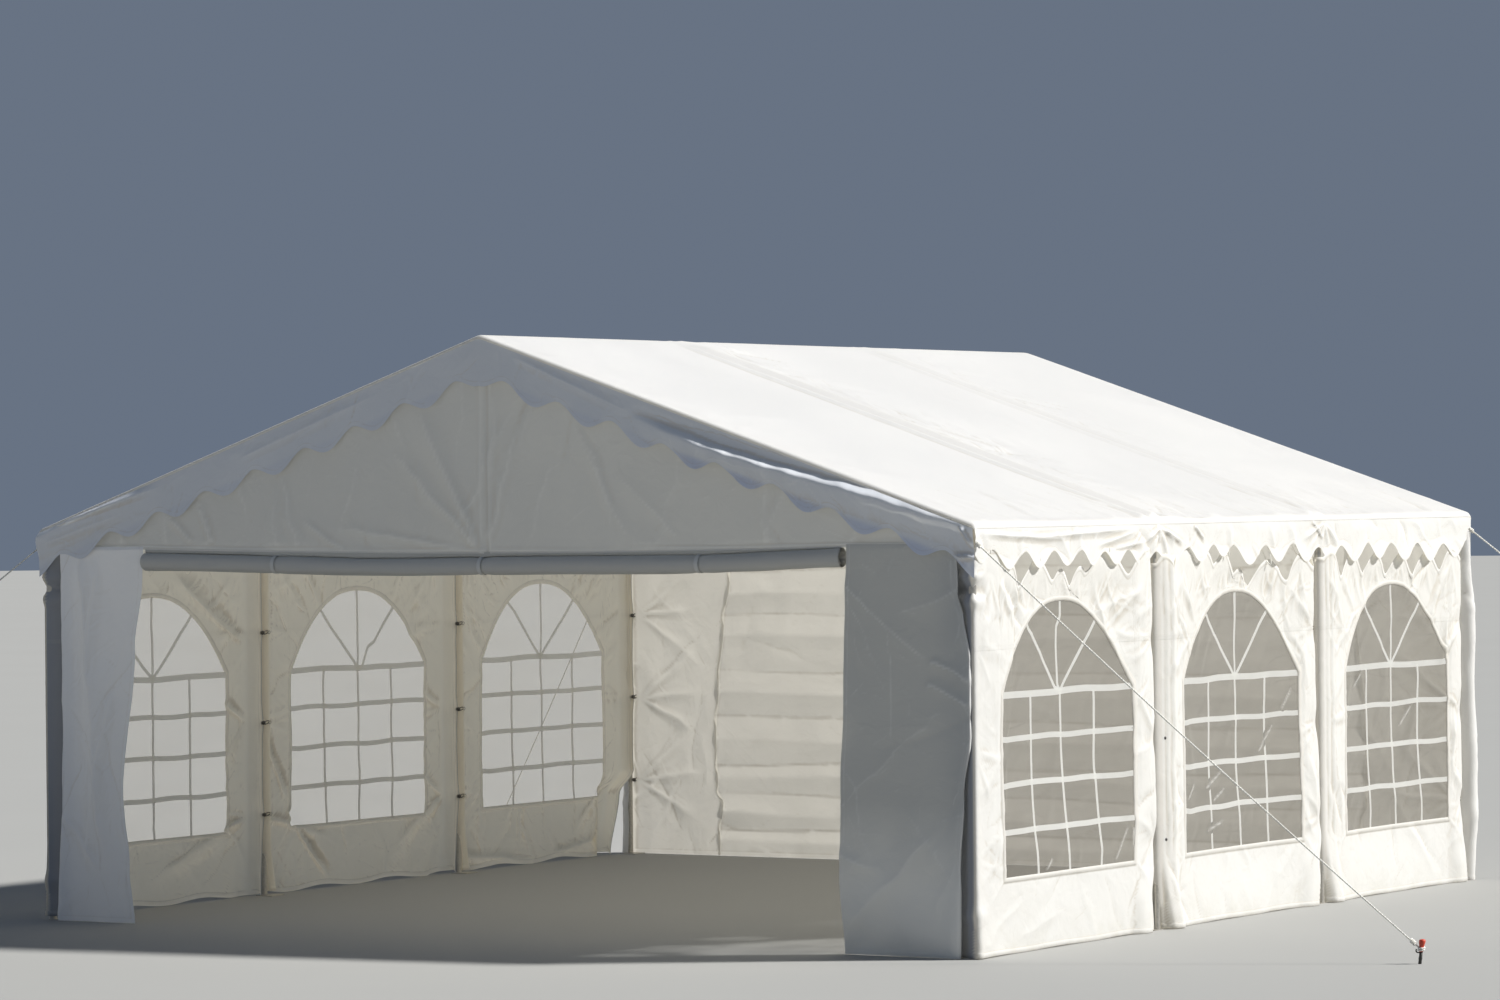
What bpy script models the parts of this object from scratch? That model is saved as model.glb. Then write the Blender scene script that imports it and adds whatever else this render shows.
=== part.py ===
"""A 6 m by 6 m marquee tent: steel tube frame, fabric cover, wall panels, guy ropes and pegs.

Metres, +Z up. The origin is the middle of the plan at ground level. The open front end faces -Y, the
ridge runs along Y, and left and right are as seen from the front. Pieces that touch keep TOUCH between
their meshes.
"""

import math

import bmesh
import bpy
from mathutils import Matrix, Vector

# Cover
WIDTH = 6.0
LENGTH = 6.0
BAYS = 3
EAVE_HEIGHT = 2.177
PEAK_HEIGHT = 3.198
FABRIC = 0.004
VALANCE_SPACE = 0.016  # air between the inside of a valance and the wall
GABLE_NOTCH_DROP = 0.19  # from the cover's edge down to the notches of a gable's valance
GABLE_LOBE_DEPTH = 0.078
EAVE_NOTCH_DROP = 0.15
EAVE_LOBE_DEPTH = 0.088
LOBES_PER_BAY = 6
LOBE_STEPS = 6

# Frame
TUBE_RADIUS = 0.019
SLEEVE_WALL = 0.0035
SLEEVE_REACH = 0.12
STUB_STEP = 0.001  # how much slimmer the stubs of a fitting are than its sleeve
TUBE_SIDES = 16
FOOT_LENGTH = 0.12
FOOT_THICKNESS = 0.005

# Wall panels and their windows
VALLEY_DROP = 0.322  # from the cover's edge down to the valleys in a panel's top edge
TONGUE_RISE = 0.085
PANEL_LAP = 0.03  # a panel starts this far ahead of its leg
PANEL_JOIN = 0.005  # and ends this far short of the next panel
WINDOW_WIDTH = 1.37
WINDOW_SILL = 0.39
WINDOW_SPRING = 1.31
WINDOW_HEADROOM = 0.075  # from the top of a window up to the valleys
WINDOW_POWER = 2.3  # at 2 the arch is a parabola, and above it is rounder
ARCH_STEPS = 16
FILM = 0.0025

# End walls and doors
DOOR_WIDTH = 4.54
DOOR_HEAD_DROP = 0.107  # from the cover's edge down to the head of the doorway
ROLL_RADIUS = 0.055
ROLL_CLEARANCE = 0.008

# Guy ropes and pegs
ROPE_RADIUS = 0.0045
ROPE_DROP = 0.087  # from the cover's edge down to where a rope starts
ROPE_INSET = 0.02  # from the cover's corner along the eave
ROPE_SIDES = 8
HITCH_CLEARANCE = 0.003  # between the rope and the underside of the peg's head
PEG_RADIUS = 0.008
PEG_HEIGHT = 0.118
PEG_HEAD_RADIUS = 0.016
PEG_HEAD_HEIGHT = 0.03
PEG_HEAD_BEVEL = 0.005
PEG_SIDES = 16
PEG_OUT = 2.06  # out from the side of the cover
PEG_BEYOND = 1.5  # and beyond the end of it
NEAR_PEG_BEYOND = -0.75  # the front right peg, which stands abreast of the tent

TOUCH = 0.0003  # gap between meshes that touch

# Worked out from the sizes above
HALF_WIDTH = WIDTH / 2
HALF_LENGTH = LENGTH / 2
BAY = LENGTH / BAYS
LOBE_PITCH = BAY / LOBES_PER_BAY
PITCH = math.atan2(PEAK_HEIGHT - EAVE_HEIGHT, HALF_WIDTH)
SLEEVE_RADIUS = TUBE_RADIUS + SLEEVE_WALL
STUB_RADIUS = SLEEVE_RADIUS - STUB_STEP
WALL_SETBACK = FABRIC + VALANCE_SPACE
WALL_INSIDE = WALL_SETBACK + FABRIC
LEG_X = HALF_WIDTH - WALL_INSIDE - TOUCH - TUBE_RADIUS
END_FRAME_Y = HALF_LENGTH - WALL_INSIDE - TOUCH - SLEEVE_RADIUS
FRAME_DROP = (FABRIC + TOUCH + SLEEVE_RADIUS) / math.cos(PITCH)
DOOR_HALF = DOOR_WIDTH / 2
DOOR_HEAD = EAVE_HEIGHT - DOOR_HEAD_DROP
PANEL_VALLEY = EAVE_HEIGHT - VALLEY_DROP
WINDOW_TOP = PANEL_VALLEY - WINDOW_HEADROOM
ROPE_TOP = EAVE_HEIGHT - ROPE_DROP
SIDES = {"left": -1, "right": 1}
ENDS = {"front": -1, "rear": 1}

FABRIC_WHITE = ("fabric_white", (0.83, 0.84, 0.86), 0.55, 0.0)
CLEAR_FILM = ("clear_film", (0.62, 0.63, 0.62), 0.2, 0.0)
STEEL = ("steel", (0.60, 0.61, 0.62), 0.35, 1.0)
ROPE_WHITE = ("rope_white", (0.86, 0.85, 0.80), 0.8, 0.0)
PEG_BLACK = ("peg_black", (0.05, 0.05, 0.05), 0.5, 0.0)


def clear_scene():
    for obj in list(bpy.data.objects):
        bpy.data.objects.remove(obj, do_unlink=True)


def finish(name, mesh, look):
    """Puts a mesh into the scene as the piece of that name, with its own material."""
    look_name, colour, roughness, metallic = look
    material = bpy.data.materials.new(f"{name}_{look_name}")
    material.use_nodes = True
    shader = material.node_tree.nodes["Principled BSDF"]
    shader.inputs["Base Color"].default_value = (*colour, 1.0)
    shader.inputs["Roughness"].default_value = roughness
    shader.inputs["Metallic"].default_value = metallic
    mesh.materials.clear()
    mesh.materials.append(material)
    piece = bpy.data.objects.new(name, mesh)
    bpy.context.collection.objects.link(piece)
    return piece


def mesh_from(bm, name):
    bmesh.ops.recalc_face_normals(bm, faces=bm.faces)
    mesh = bpy.data.meshes.new(name)
    bm.to_mesh(mesh)
    bm.free()
    return mesh


def sheet_mesh(name, place, thickness, outline, hole=()):
    """A flat sheet: place turns an outline's (across, up) into its outer face, and its thickness runs
    along place's third axis."""
    bm = bmesh.new()
    edges = []
    for loop in filter(None, (outline, hole)):
        corners = [bm.verts.new(place @ Vector((u, v, 0))) for u, v in loop]
        edges += [bm.edges.new(pair) for pair in zip(corners, corners[1:] + corners[:1])]
    bmesh.ops.triangle_fill(bm, use_beauty=True, use_dissolve=False, edges=edges)
    sheet = bmesh.ops.extrude_face_region(bm, geom=bm.faces[:])
    shift = place.to_3x3() @ Vector((0, 0, thickness))
    moved = [item for item in sheet["geom"] if isinstance(item, bmesh.types.BMVert)]
    bmesh.ops.translate(bm, vec=shift, verts=moved)
    return mesh_from(bm, name)


def facing_side(sign, inset):
    """Across runs along +Y, up is +Z, and the thickness runs inwards from the plane at the side."""
    plane = sign * (HALF_WIDTH - inset)
    return Matrix(((0, 0, -sign, plane), (1, 0, 0, 0), (0, 1, 0, 0), (0, 0, 0, 1)))


def facing_end(sign, inset):
    """Across runs along +X, up is +Z, and the thickness runs inwards from the plane at the end."""
    plane = sign * (HALF_LENGTH - inset)
    return Matrix(((1, 0, 0, 0), (0, 0, -sign, plane), (0, 1, 0, 0), (0, 0, 0, 1)))


def rod_mesh(name, start, end, radius, sides, turn=0.0):
    """A straight round bar from start to end."""
    start = Vector(start)
    end = Vector(end)
    along = end - start
    place = Matrix.Translation(start) @ along.to_track_quat("Z", "Y").to_matrix().to_4x4()
    bm = bmesh.new()
    ring = [2 * math.pi * step / sides + turn for step in range(sides)]
    corners = [bm.verts.new((radius * math.cos(a), radius * math.sin(a), 0)) for a in ring]
    base = bm.faces.new(corners)
    top = bmesh.ops.extrude_face_region(bm, geom=[base])
    moved = [item for item in top["geom"] if isinstance(item, bmesh.types.BMVert)]
    bmesh.ops.translate(bm, vec=(0, 0, along.length), verts=moved)
    bmesh.ops.transform(bm, matrix=place, verts=bm.verts)
    return mesh_from(bm, name)


def box_mesh(name, low, high):
    bm = bmesh.new()
    bmesh.ops.create_cube(bm, size=1.0)
    size = Vector(high) - Vector(low)
    middle = (Vector(high) + Vector(low)) / 2
    bmesh.ops.transform(bm, matrix=Matrix.Translation(middle) @ Matrix.Diagonal((*size, 1)), verts=bm.verts)
    return mesh_from(bm, name)


def turned_mesh(name, place, profile, sides):
    """A profile of (radius, height), from the axis to the axis, turned about a vertical line."""
    bm = bmesh.new()
    rings = []
    for radius, height in profile:
        if radius == 0:
            rings.append([bm.verts.new((*place, height))])
            continue
        turns = [2 * math.pi * step / sides for step in range(sides)]
        rings.append([
            bm.verts.new((place[0] + radius * math.cos(a), place[1] + radius * math.sin(a), height))
            for a in turns
        ])
    for lower, upper in zip(rings, rings[1:]):
        for step in range(sides):
            after = (step + 1) % sides
            if len(lower) == 1:
                bm.faces.new((lower[0], upper[after], upper[step]))
            elif len(upper) == 1:
                bm.faces.new((lower[step], lower[after], upper[0]))
            else:
                bm.faces.new((lower[step], lower[after], upper[after], upper[step]))
    return mesh_from(bm, name)


def fused(name, meshes):
    """The Boolean union of closed meshes that run into each other, as one mesh."""
    objects = [bpy.data.objects.new(f"{name}_{index}", mesh) for index, mesh in enumerate(meshes)]
    for obj in objects:
        bpy.context.collection.objects.link(obj)
    for other in objects[1:]:
        joint = objects[0].modifiers.new("union", "BOOLEAN")
        joint.operation = "UNION"
        joint.object = other
    whole = objects[0].evaluated_get(bpy.context.evaluated_depsgraph_get())
    mesh = bpy.data.meshes.new_from_object(whole)
    for obj in objects:
        bpy.data.objects.remove(obj, do_unlink=True)
    return mesh


def roof_top(x):
    return PEAK_HEIGHT - abs(x) * math.tan(PITCH)


def roof_underside(x):
    return roof_top(x) - FABRIC / math.cos(PITCH)


def frame_line(x):
    """Height of the middle of the rafters and of the rails."""
    return roof_top(x) - FRAME_DROP


def frame_places():
    """Where the frames stand along the ridge, front to rear."""
    inner = [BAY * index - HALF_LENGTH for index in range(1, BAYS)]
    return [-END_FRAME_Y, *inner, END_FRAME_Y]


def scallop(along, phase):
    """0 at the notches and 1 at the middle of the lobes, with round lobes and sharp notches."""
    return abs(math.sin(math.pi * (along / LOBE_PITCH + phase)))


def scallop_stations(low, high, phase):
    """Points along an edge, with every notch among them."""
    step = LOBE_PITCH / LOBE_STEPS
    first = math.ceil((low / LOBE_PITCH + phase) * LOBE_STEPS + 1e-6)
    last = math.floor((high / LOBE_PITCH + phase) * LOBE_STEPS - 1e-6)
    inner = [index * step - phase * LOBE_PITCH for index in range(first, last + 1)]
    return [low, *inner, high]


def build_roof():
    """Two slopes that meet at the ridge."""
    for side, sign in SIDES.items():
        ridge = sign * TOUCH / 2
        eave = sign * HALF_WIDTH
        outline = [
            (ridge, roof_underside(ridge)),
            (eave, roof_underside(eave)),
            (eave, roof_top(eave)),
            (ridge, roof_top(ridge)),
        ]
        name = f"roof_slope_{side}"
        finish(name, sheet_mesh(name, facing_end(-1, 0), LENGTH, outline), FABRIC_WHITE)


def build_eave_valances():
    """Scalloped skirts that hang from the eaves, with a notch at every leg."""
    top = roof_underside(HALF_WIDTH) - TOUCH
    edge = scallop_stations(-HALF_LENGTH, HALF_LENGTH, 0)
    notches = EAVE_HEIGHT - EAVE_NOTCH_DROP
    outline = [(y, notches - EAVE_LOBE_DEPTH * scallop(y + HALF_LENGTH, 0)) for y in edge]
    outline += [(HALF_LENGTH, top), (-HALF_LENGTH, top)]
    for side, sign in SIDES.items():
        name = f"eave_valance_{side}"
        finish(name, sheet_mesh(name, facing_side(sign, 0), FABRIC, outline), FABRIC_WHITE)


def build_gable_valances():
    """Scalloped skirts that follow both slopes of an end, with a lobe in the middle."""
    reach = HALF_WIDTH - FABRIC - TOUCH
    edge = scallop_stations(-reach, reach, 0.5)
    notch_drop, depth = GABLE_NOTCH_DROP, GABLE_LOBE_DEPTH
    outline = [(x, roof_top(x) - notch_drop - depth * scallop(x, 0.5)) for x in edge]
    outline += [(x, roof_underside(x) - TOUCH) for x in (reach, 0, -reach)]
    for end, sign in ENDS.items():
        name = f"gable_valance_{end}"
        finish(name, sheet_mesh(name, facing_end(sign, 0), FABRIC, outline), FABRIC_WHITE)


def fitting_meshes(name, x, y, y_range, stubs):
    """A fitting of welded sleeves: one along the rail, and a stub towards each tube that it holds."""
    hub = Vector((x, y, frame_line(x)))
    low, high = y_range
    sleeve = rod_mesh(name, (x, low, hub.z), (x, high, hub.z), SLEEVE_RADIUS, TUBE_SIDES)
    arms = [rod_mesh(name, hub, hub + SLEEVE_REACH * way, STUB_RADIUS, TUBE_SIDES) for way in stubs]
    return [sleeve, *arms]


def build_rail(name, x, stubs):
    """A tube from end to end with a fitting at each frame."""
    end = END_FRAME_Y
    height = frame_line(x)
    parts = [rod_mesh(name, (x, -end, height), (x, end, height), TUBE_RADIUS, TUBE_SIDES)]
    places = frame_places()
    for y in places:
        low = y - (SLEEVE_RADIUS if y == places[0] else SLEEVE_REACH)
        high = y + (SLEEVE_RADIUS if y == places[-1] else SLEEVE_REACH)
        parts += fitting_meshes(name, x, y, (low, high), stubs)
    finish(name, fused(name, parts), STEEL)


def build_rails():
    down = Vector((0, 0, -1))
    slope = {side: Vector((-sign * math.cos(PITCH), 0, math.sin(PITCH))) for side, sign in SIDES.items()}
    for side, sign in SIDES.items():
        build_rail(f"eave_rail_{side}", sign * LEG_X, [down, slope[side]])
    build_rail("ridge_rail", 0, [-slope["left"], -slope["right"]])


def build_legs_and_rafters():
    top = frame_line(LEG_X) - SLEEVE_REACH - TOUCH
    places = frame_places()
    for side, sign in SIDES.items():
        x = sign * LEG_X
        eave = Vector((x, 0, frame_line(x)))
        ridge = Vector((0, 0, frame_line(0)))
        pull_in = (ridge - eave).normalized() * (SLEEVE_REACH + TOUCH)
        for index, y in enumerate(places, start=1):
            name = f"leg_{side}_{index}"
            tube = rod_mesh(name, (x, y, FOOT_THICKNESS / 2), (x, y, top), TUBE_RADIUS, TUBE_SIDES)
            outer = x + sign * TUBE_RADIUS
            inner = outer - sign * FOOT_LENGTH
            front = y - (TUBE_RADIUS if y == places[0] else FOOT_LENGTH / 2)
            front = y + TUBE_RADIUS - FOOT_LENGTH if y == places[-1] else front
            low = (min(outer, inner), front, 0)
            high = (max(outer, inner), front + FOOT_LENGTH, FOOT_THICKNESS)
            finish(name, fused(name, [tube, box_mesh(name, low, high)]), STEEL)
            name = f"rafter_{side}_{index}"
            shift = Vector((0, y, 0))
            start = eave + pull_in + shift
            finish(name, rod_mesh(name, start, ridge - pull_in + shift, TUBE_RADIUS, TUBE_SIDES), STEEL)


def arch_outline(margin):
    """The window's outline about its own middle, drawn in by a margin all round."""
    half = WINDOW_WIDTH / 2 - margin
    sill = WINDOW_SILL + margin
    rise = WINDOW_TOP - WINDOW_SPRING - margin
    outline = [(-half, sill), (half, sill)]
    for step in range(ARCH_STEPS + 1):
        across = math.cos(math.pi * step / ARCH_STEPS)
        outline.append((half * across, WINDOW_SPRING + rise * (1 - abs(across) ** WINDOW_POWER)))
    return outline


def build_side_panels():
    """One wall panel in each bay of each side, with a window cut through it and film in the window."""
    corner = HALF_LENGTH - WALL_INSIDE - TOUCH
    film_inset = WALL_SETBACK + (FABRIC - FILM) / 2
    for bay in range(BAYS):
        front = BAY * bay - HALF_LENGTH
        low = max(front - PANEL_LAP, -corner)
        high = corner if bay == BAYS - 1 else front + BAY - PANEL_LAP - PANEL_JOIN
        top = [
            (y, PANEL_VALLEY + TONGUE_RISE * scallop(y + HALF_LENGTH, 0))
            for y in reversed(scallop_stations(low, high, 0))
        ]
        middle = front + BAY / 2
        window = [(middle + u, v) for u, v in arch_outline(0)]
        film = [(middle + u, v) for u, v in arch_outline(TOUCH)]
        for side, sign in SIDES.items():
            name = f"side_panel_{side}_{bay + 1}"
            place = facing_side(sign, WALL_SETBACK)
            panel = sheet_mesh(name, place, FABRIC, [(low, 0), (high, 0), *top], window)
            finish(name, panel, FABRIC_WHITE)
            name = f"window_film_{side}_{bay + 1}"
            finish(name, sheet_mesh(name, facing_side(sign, film_inset), FILM, film), CLEAR_FILM)


def gable_top(reach):
    """The upper edge of an end wall, under the cover, from right to left."""
    return [(x, roof_underside(x) - TOUCH) for x in (reach, 0, -reach)]


def build_front_end():
    """The front end wall over and beside the open doorway, and the rolled-up door in its head."""
    place = facing_end(-1, WALL_SETBACK)
    reach = HALF_WIDTH - WALL_SETBACK
    outline = [(-reach, DOOR_HEAD), (reach, DOOR_HEAD), *gable_top(reach)]
    finish("front_gable_panel", sheet_mesh("front_gable_panel", place, FABRIC, outline), FABRIC_WHITE)
    top = DOOR_HEAD - TOUCH
    for side, sign in SIDES.items():
        name = f"front_flap_{side}"
        edges = sorted((sign * DOOR_HALF, sign * reach))
        outline = [(edges[0], 0), (edges[1], 0), (edges[1], top), (edges[0], top)]
        finish(name, sheet_mesh(name, place, FABRIC, outline), FABRIC_WHITE)
    half = DOOR_HALF - ROLL_CLEARANCE
    y = -HALF_LENGTH + WALL_SETBACK + FABRIC / 2
    z = top - ROLL_RADIUS
    roll = rod_mesh("front_door_roll", (-half, y, z), (half, y, z), ROLL_RADIUS, TUBE_SIDES, math.pi / 2)
    finish("front_door_roll", roll, FABRIC_WHITE)


def build_rear_end():
    """The rear end wall, cut out for its door, and the closed door in it."""
    place = facing_end(1, WALL_SETBACK)
    reach = HALF_WIDTH - WALL_SETBACK
    doorway = [(DOOR_HALF, 0), (DOOR_HALF, DOOR_HEAD), (-DOOR_HALF, DOOR_HEAD), (-DOOR_HALF, 0)]
    outline = [(reach, 0), *gable_top(reach), (-reach, 0), *reversed(doorway)]
    finish("rear_end_wall", sheet_mesh("rear_end_wall", place, FABRIC, outline), FABRIC_WHITE)
    half = DOOR_HALF - TOUCH
    top = DOOR_HEAD - TOUCH
    outline = [(-half, 0), (half, 0), (half, top), (-half, top)]
    finish("rear_door", sheet_mesh("rear_door", place, FABRIC, outline), FABRIC_WHITE)


def build_stay(end, side, beyond, profile):
    """A guy rope from one corner of the cover down to its peg."""
    along = ENDS[end]
    out = SIDES[side]
    head = PEG_HEIGHT - PEG_HEAD_HEIGHT
    peg = Vector((out * (HALF_WIDTH + PEG_OUT), along * (HALF_LENGTH + beyond), head))
    start = Vector((out * HALF_WIDTH, along * (HALF_LENGTH - ROPE_INSET), ROPE_TOP))
    to_head = peg - start
    fall = -to_head.z / to_head.xy.length
    hitch = head - HITCH_CLEARANCE - PEG_HEAD_RADIUS * fall - ROPE_RADIUS * math.hypot(1, fall)
    stop = Vector((peg.x, peg.y, hitch))
    way = (stop - start).normalized()
    start += way * (ROPE_RADIUS * math.sqrt(1 - way.x**2) + TOUCH) / abs(way.x)
    stop -= way * (PEG_RADIUS + ROPE_RADIUS * abs(way.z) + TOUCH) / way.xy.length
    name = f"guy_rope_{end}_{side}"
    finish(name, rod_mesh(name, start, stop, ROPE_RADIUS, ROPE_SIDES), ROPE_WHITE)
    name = f"peg_{end}_{side}"
    finish(name, turned_mesh(name, peg.xy, profile, PEG_SIDES), PEG_BLACK)


def build_stays():
    """A guy rope and a peg at each corner."""
    head = PEG_HEIGHT - PEG_HEAD_HEIGHT
    profile = [
        (0, 0),
        (PEG_RADIUS, 0),
        (PEG_RADIUS, head),
        (PEG_HEAD_RADIUS, head),
        (PEG_HEAD_RADIUS, PEG_HEIGHT - PEG_HEAD_BEVEL),
        (PEG_HEAD_RADIUS - PEG_HEAD_BEVEL, PEG_HEIGHT),
        (0, PEG_HEIGHT),
    ]
    for end in ENDS:
        for side in SIDES:
            near = end == "front" and side == "right"
            build_stay(end, side, NEAR_PEG_BEYOND if near else PEG_BEYOND, profile)


def main():
    clear_scene()
    build_roof()
    build_eave_valances()
    build_gable_valances()
    build_rails()
    build_legs_and_rafters()
    build_side_panels()
    build_front_end()
    build_rear_end()
    build_stays()


main()
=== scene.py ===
"""A white frame marquee, six metres by six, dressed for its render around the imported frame.

Metres, +Z up, the open front end towards -Y. Every sheet of cloth is laid out in its own flat
coordinates, bent onto the frame and creased there, and then stands for the plain solid of the frame.
"""

from __future__ import annotations

import logging
import math
from dataclasses import dataclass, field, replace
from enum import Enum
from typing import Callable, Iterable, Sequence

import bmesh
import bpy
import numpy as np
from mathutils import Matrix, Vector


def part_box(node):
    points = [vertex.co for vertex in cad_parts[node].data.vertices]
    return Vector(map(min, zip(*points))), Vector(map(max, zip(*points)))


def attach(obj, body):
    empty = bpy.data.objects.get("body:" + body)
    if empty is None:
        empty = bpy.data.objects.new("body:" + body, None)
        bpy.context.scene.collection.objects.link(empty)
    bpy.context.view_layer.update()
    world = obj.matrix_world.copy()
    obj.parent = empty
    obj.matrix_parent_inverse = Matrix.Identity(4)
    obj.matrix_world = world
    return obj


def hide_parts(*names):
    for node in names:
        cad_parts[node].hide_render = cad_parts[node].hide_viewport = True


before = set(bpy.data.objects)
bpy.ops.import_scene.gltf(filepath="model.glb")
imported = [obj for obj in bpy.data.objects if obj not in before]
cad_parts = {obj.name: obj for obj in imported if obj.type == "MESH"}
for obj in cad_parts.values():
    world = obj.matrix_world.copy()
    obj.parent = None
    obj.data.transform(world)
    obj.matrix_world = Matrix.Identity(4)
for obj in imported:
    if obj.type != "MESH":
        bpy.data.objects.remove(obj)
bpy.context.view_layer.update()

LOG = logging.getLogger("marquee")
Array = np.ndarray
Point = tuple[float, float]
Spot = Sequence[float]  # a place or a way in three dimensions

HALF = 3.0  # half of the cover's width and length
EAVE = 2.177
PEAK = 3.198
SLOPE = (PEAK - EAVE) / HALF
PITCH = math.atan(SLOPE)
BAY = 2.0
LOBE = BAY / 6
WALL = 2.981  # from the middle of the plan to the outside of the walls
GABLE = 2.977  # to the outside of the gable panels
SKIRT = 2.9985  # and to the outside of the valances
LEG = 2.9567
END_LEG = 2.9532
LEG_WRAP = 0.0265  # how far cloth that goes round a leg keeps from its middle
DOOR_HEAD = 2.07
WINDOW_HALF = 0.685
WINDOW_SILL = 0.39
WINDOW_SPRING = 1.31
WINDOW_RISE = 0.465
ARCH_POWER = 2.3  # how square the arch's shoulders are
PANEL_HEIGHT = 2.05  # of a side wall's cloth
TIE_HEIGHTS = (1.55, 1.02, 0.48)
FRAMES = (-END_LEG, -1.0, 1.0, END_LEG)  # the four frames along the tent
REAR_SEAM = (  # heights, and how far the rear door's edges are drawn sideways there
    (1.82, -0.06), (1.52, -0.016), (1.07, 0.029), (0.73, 0.053), (0.42, 0.047), (0.34, 0.008), (0.12, 0.031),
)
SHARP_BEND = 22.0  # how strongly a sharp crease bends, in 1/m
CLOTH_MAP = "Cloth"


def ease(low: float, high: float, x: Array) -> Array:
    """Runs smoothly from 0 at low to 1 at high."""
    t = np.clip((x - low) / (high - low), 0.0, 1.0)
    return t * t * (3.0 - 2.0 * t)


def fade(low: float, high: float, x: Array) -> Array:
    """Runs smoothly from 1 at low to 0 at high."""
    return 1.0 - ease(low, high, x)


def bell(x: Array, width: float) -> Array:
    """A rounded bump that is 1 at 0."""
    return np.exp(-((x / width) ** 2))


def stacked(*parts: Array | float) -> Array:
    """Coordinates that are broadcast together, as points."""
    return np.stack(np.broadcast_arrays(*parts), axis=-1)


def columns(table: Sequence[Sequence[float]]) -> list[Array]:
    """The columns of a table."""
    return list(np.array(table, float).T)


def smooth_between(x: Array, stops: Sequence[Point]) -> Array:
    """Values between given ones, eased from each to the next.

    Args:
        x: where they are wanted.
        stops: places and the values there.

    Returns:
        The values.
    """
    places, values = columns(sorted(stops))
    index = np.clip(np.searchsorted(places, x) - 1, 0, len(places) - 2)
    part = ease(0.0, 1.0, (x - places[index]) / (places[index + 1] - places[index]))
    return values[index] * (1 - part) + values[index + 1] * part


def among(x: Array, places: Array) -> tuple[Array, Array]:
    """How many stretches between places lie before each x, and how wide the stretch is there."""
    before = np.interp(x, places, np.arange(len(places), dtype=float))
    return before, np.interp(x, (places[:-1] + places[1:]) / 2, np.diff(places))


def roof_line(x: Array | float) -> Array | float:
    """Height of the cover above a place across the tent."""
    return PEAK - np.abs(x) * SLOPE


class Lattice:
    """Smooth noise over a plane, the same every time for one seed."""

    SIZE = 97

    def __init__(self, seed: int) -> None:
        """Draws the slopes at the lattice's corners.

        Args:
            seed: which noise it is.
        """
        self.seed = seed
        turns = np.random.default_rng(seed).uniform(0.0, 2 * math.pi, (self.SIZE, self.SIZE))
        self.slopes = np.stack([np.cos(turns), np.sin(turns)])

    def at(self, u: Array, v: Array | float) -> Array:
        """Noise with features one unit apart.

        Args:
            u: places across.
            v: places up.

        Returns:
            Values from about -1 to 1.
        """
        u, v = u + 0.37, v + 0.41
        whole_u, whole_v = np.floor(u).astype(int), np.floor(v).astype(int)
        part_u, part_v = u - whole_u, v - whole_v
        ease_u = part_u**3 * (part_u * (6.0 * part_u - 15.0) + 10.0)
        ease_v = part_v**3 * (part_v * (6.0 * part_v - 15.0) + 10.0)
        total = np.zeros(np.broadcast(u, v).shape)
        for step_u, share_u in ((0, 1.0 - ease_u), (1, ease_u)):
            for step_v, share_v in ((0, 1.0 - ease_v), (1, ease_v)):
                column, row = (whole_u + step_u) % self.SIZE, (whole_v + step_v) % self.SIZE
                slope_u, slope_v = self.slopes[:, column, row]
                total += share_u * share_v * (slope_u * (part_u - step_u) + slope_v * (part_v - step_v))
        return 1.5 * total

    def cloudy(self, u: Array, v: Array, size: float, layers: int = 3) -> Array:
        """Soft swells of about a size, with finer ones on them.

        Args:
            u: places across.
            v: places up.
            size: about how wide the swells are.
            layers: how many finer layers there are.

        Returns:
            Their heights.
        """
        total = np.zeros(np.broadcast(u, v).shape)
        for layer in range(layers):
            finer = 2.03**layer
            total += self.at(u * finer / size + 17.3 * layer, v * finer / size + 9.1 * layer) / finer
        return total

    def crinkled(self, u: Array, v: Array, size: float, way: float = 90.0, spread: float = 50.0) -> Array:
        """Short soft creases scattered over a sheet, from -1 to 1.

        Args:
            u: places across the sheet.
            v: places up it.
            size: about how long and how far apart they are.
            way: the way that they run, in degrees from across.
            spread: how far from it each may turn.

        Returns:
            Their heights.
        """
        u = u + 0.10 * size * self.at(u * 1.7 / size, v * 1.7 / size)
        v = v + 0.10 * size * self.at(u * 1.7 / size + 30.0, v * 1.7 / size)
        total = np.zeros(np.broadcast(u, v).shape)
        first_u, first_v = math.floor(u.min() / size) - 1, math.floor(v.min() / size) - 1
        for column in range(first_u, math.floor(u.max() / size) + 2):
            for row in range(first_v, math.floor(v.max() / size) + 2):
                rng = np.random.default_rng((self.seed, column + 900, row + 900))
                middle_u, middle_v = (column + rng.uniform()) * size, (row + rng.uniform()) * size
                turn = math.radians(way + spread * rng.uniform(-1.0, 1.0))
                half, width = size * rng.uniform(0.5, 1.15), size * rng.uniform(0.14, 0.30)
                proud = rng.uniform(0.4, 1.0) * rng.choice((1.0, 1.0, -1.0))
                near = (np.abs(u - middle_u) < half) & (np.abs(v - middle_v) < half)
                if not near.any():
                    continue
                off_u, off_v = u[near] - middle_u, v[near] - middle_v
                along = (off_u * math.cos(turn) + off_v * math.sin(turn)) / half
                across = (off_v * math.cos(turn) - off_u * math.sin(turn)) / width
                left = np.maximum(0.0, 1.0 - along**2)
                crest = np.maximum(0.0, 1.0 - np.abs(across) / (0.35 + 0.65 * left)) ** 1.5
                total[near] += proud * left * crest
        return total


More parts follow.
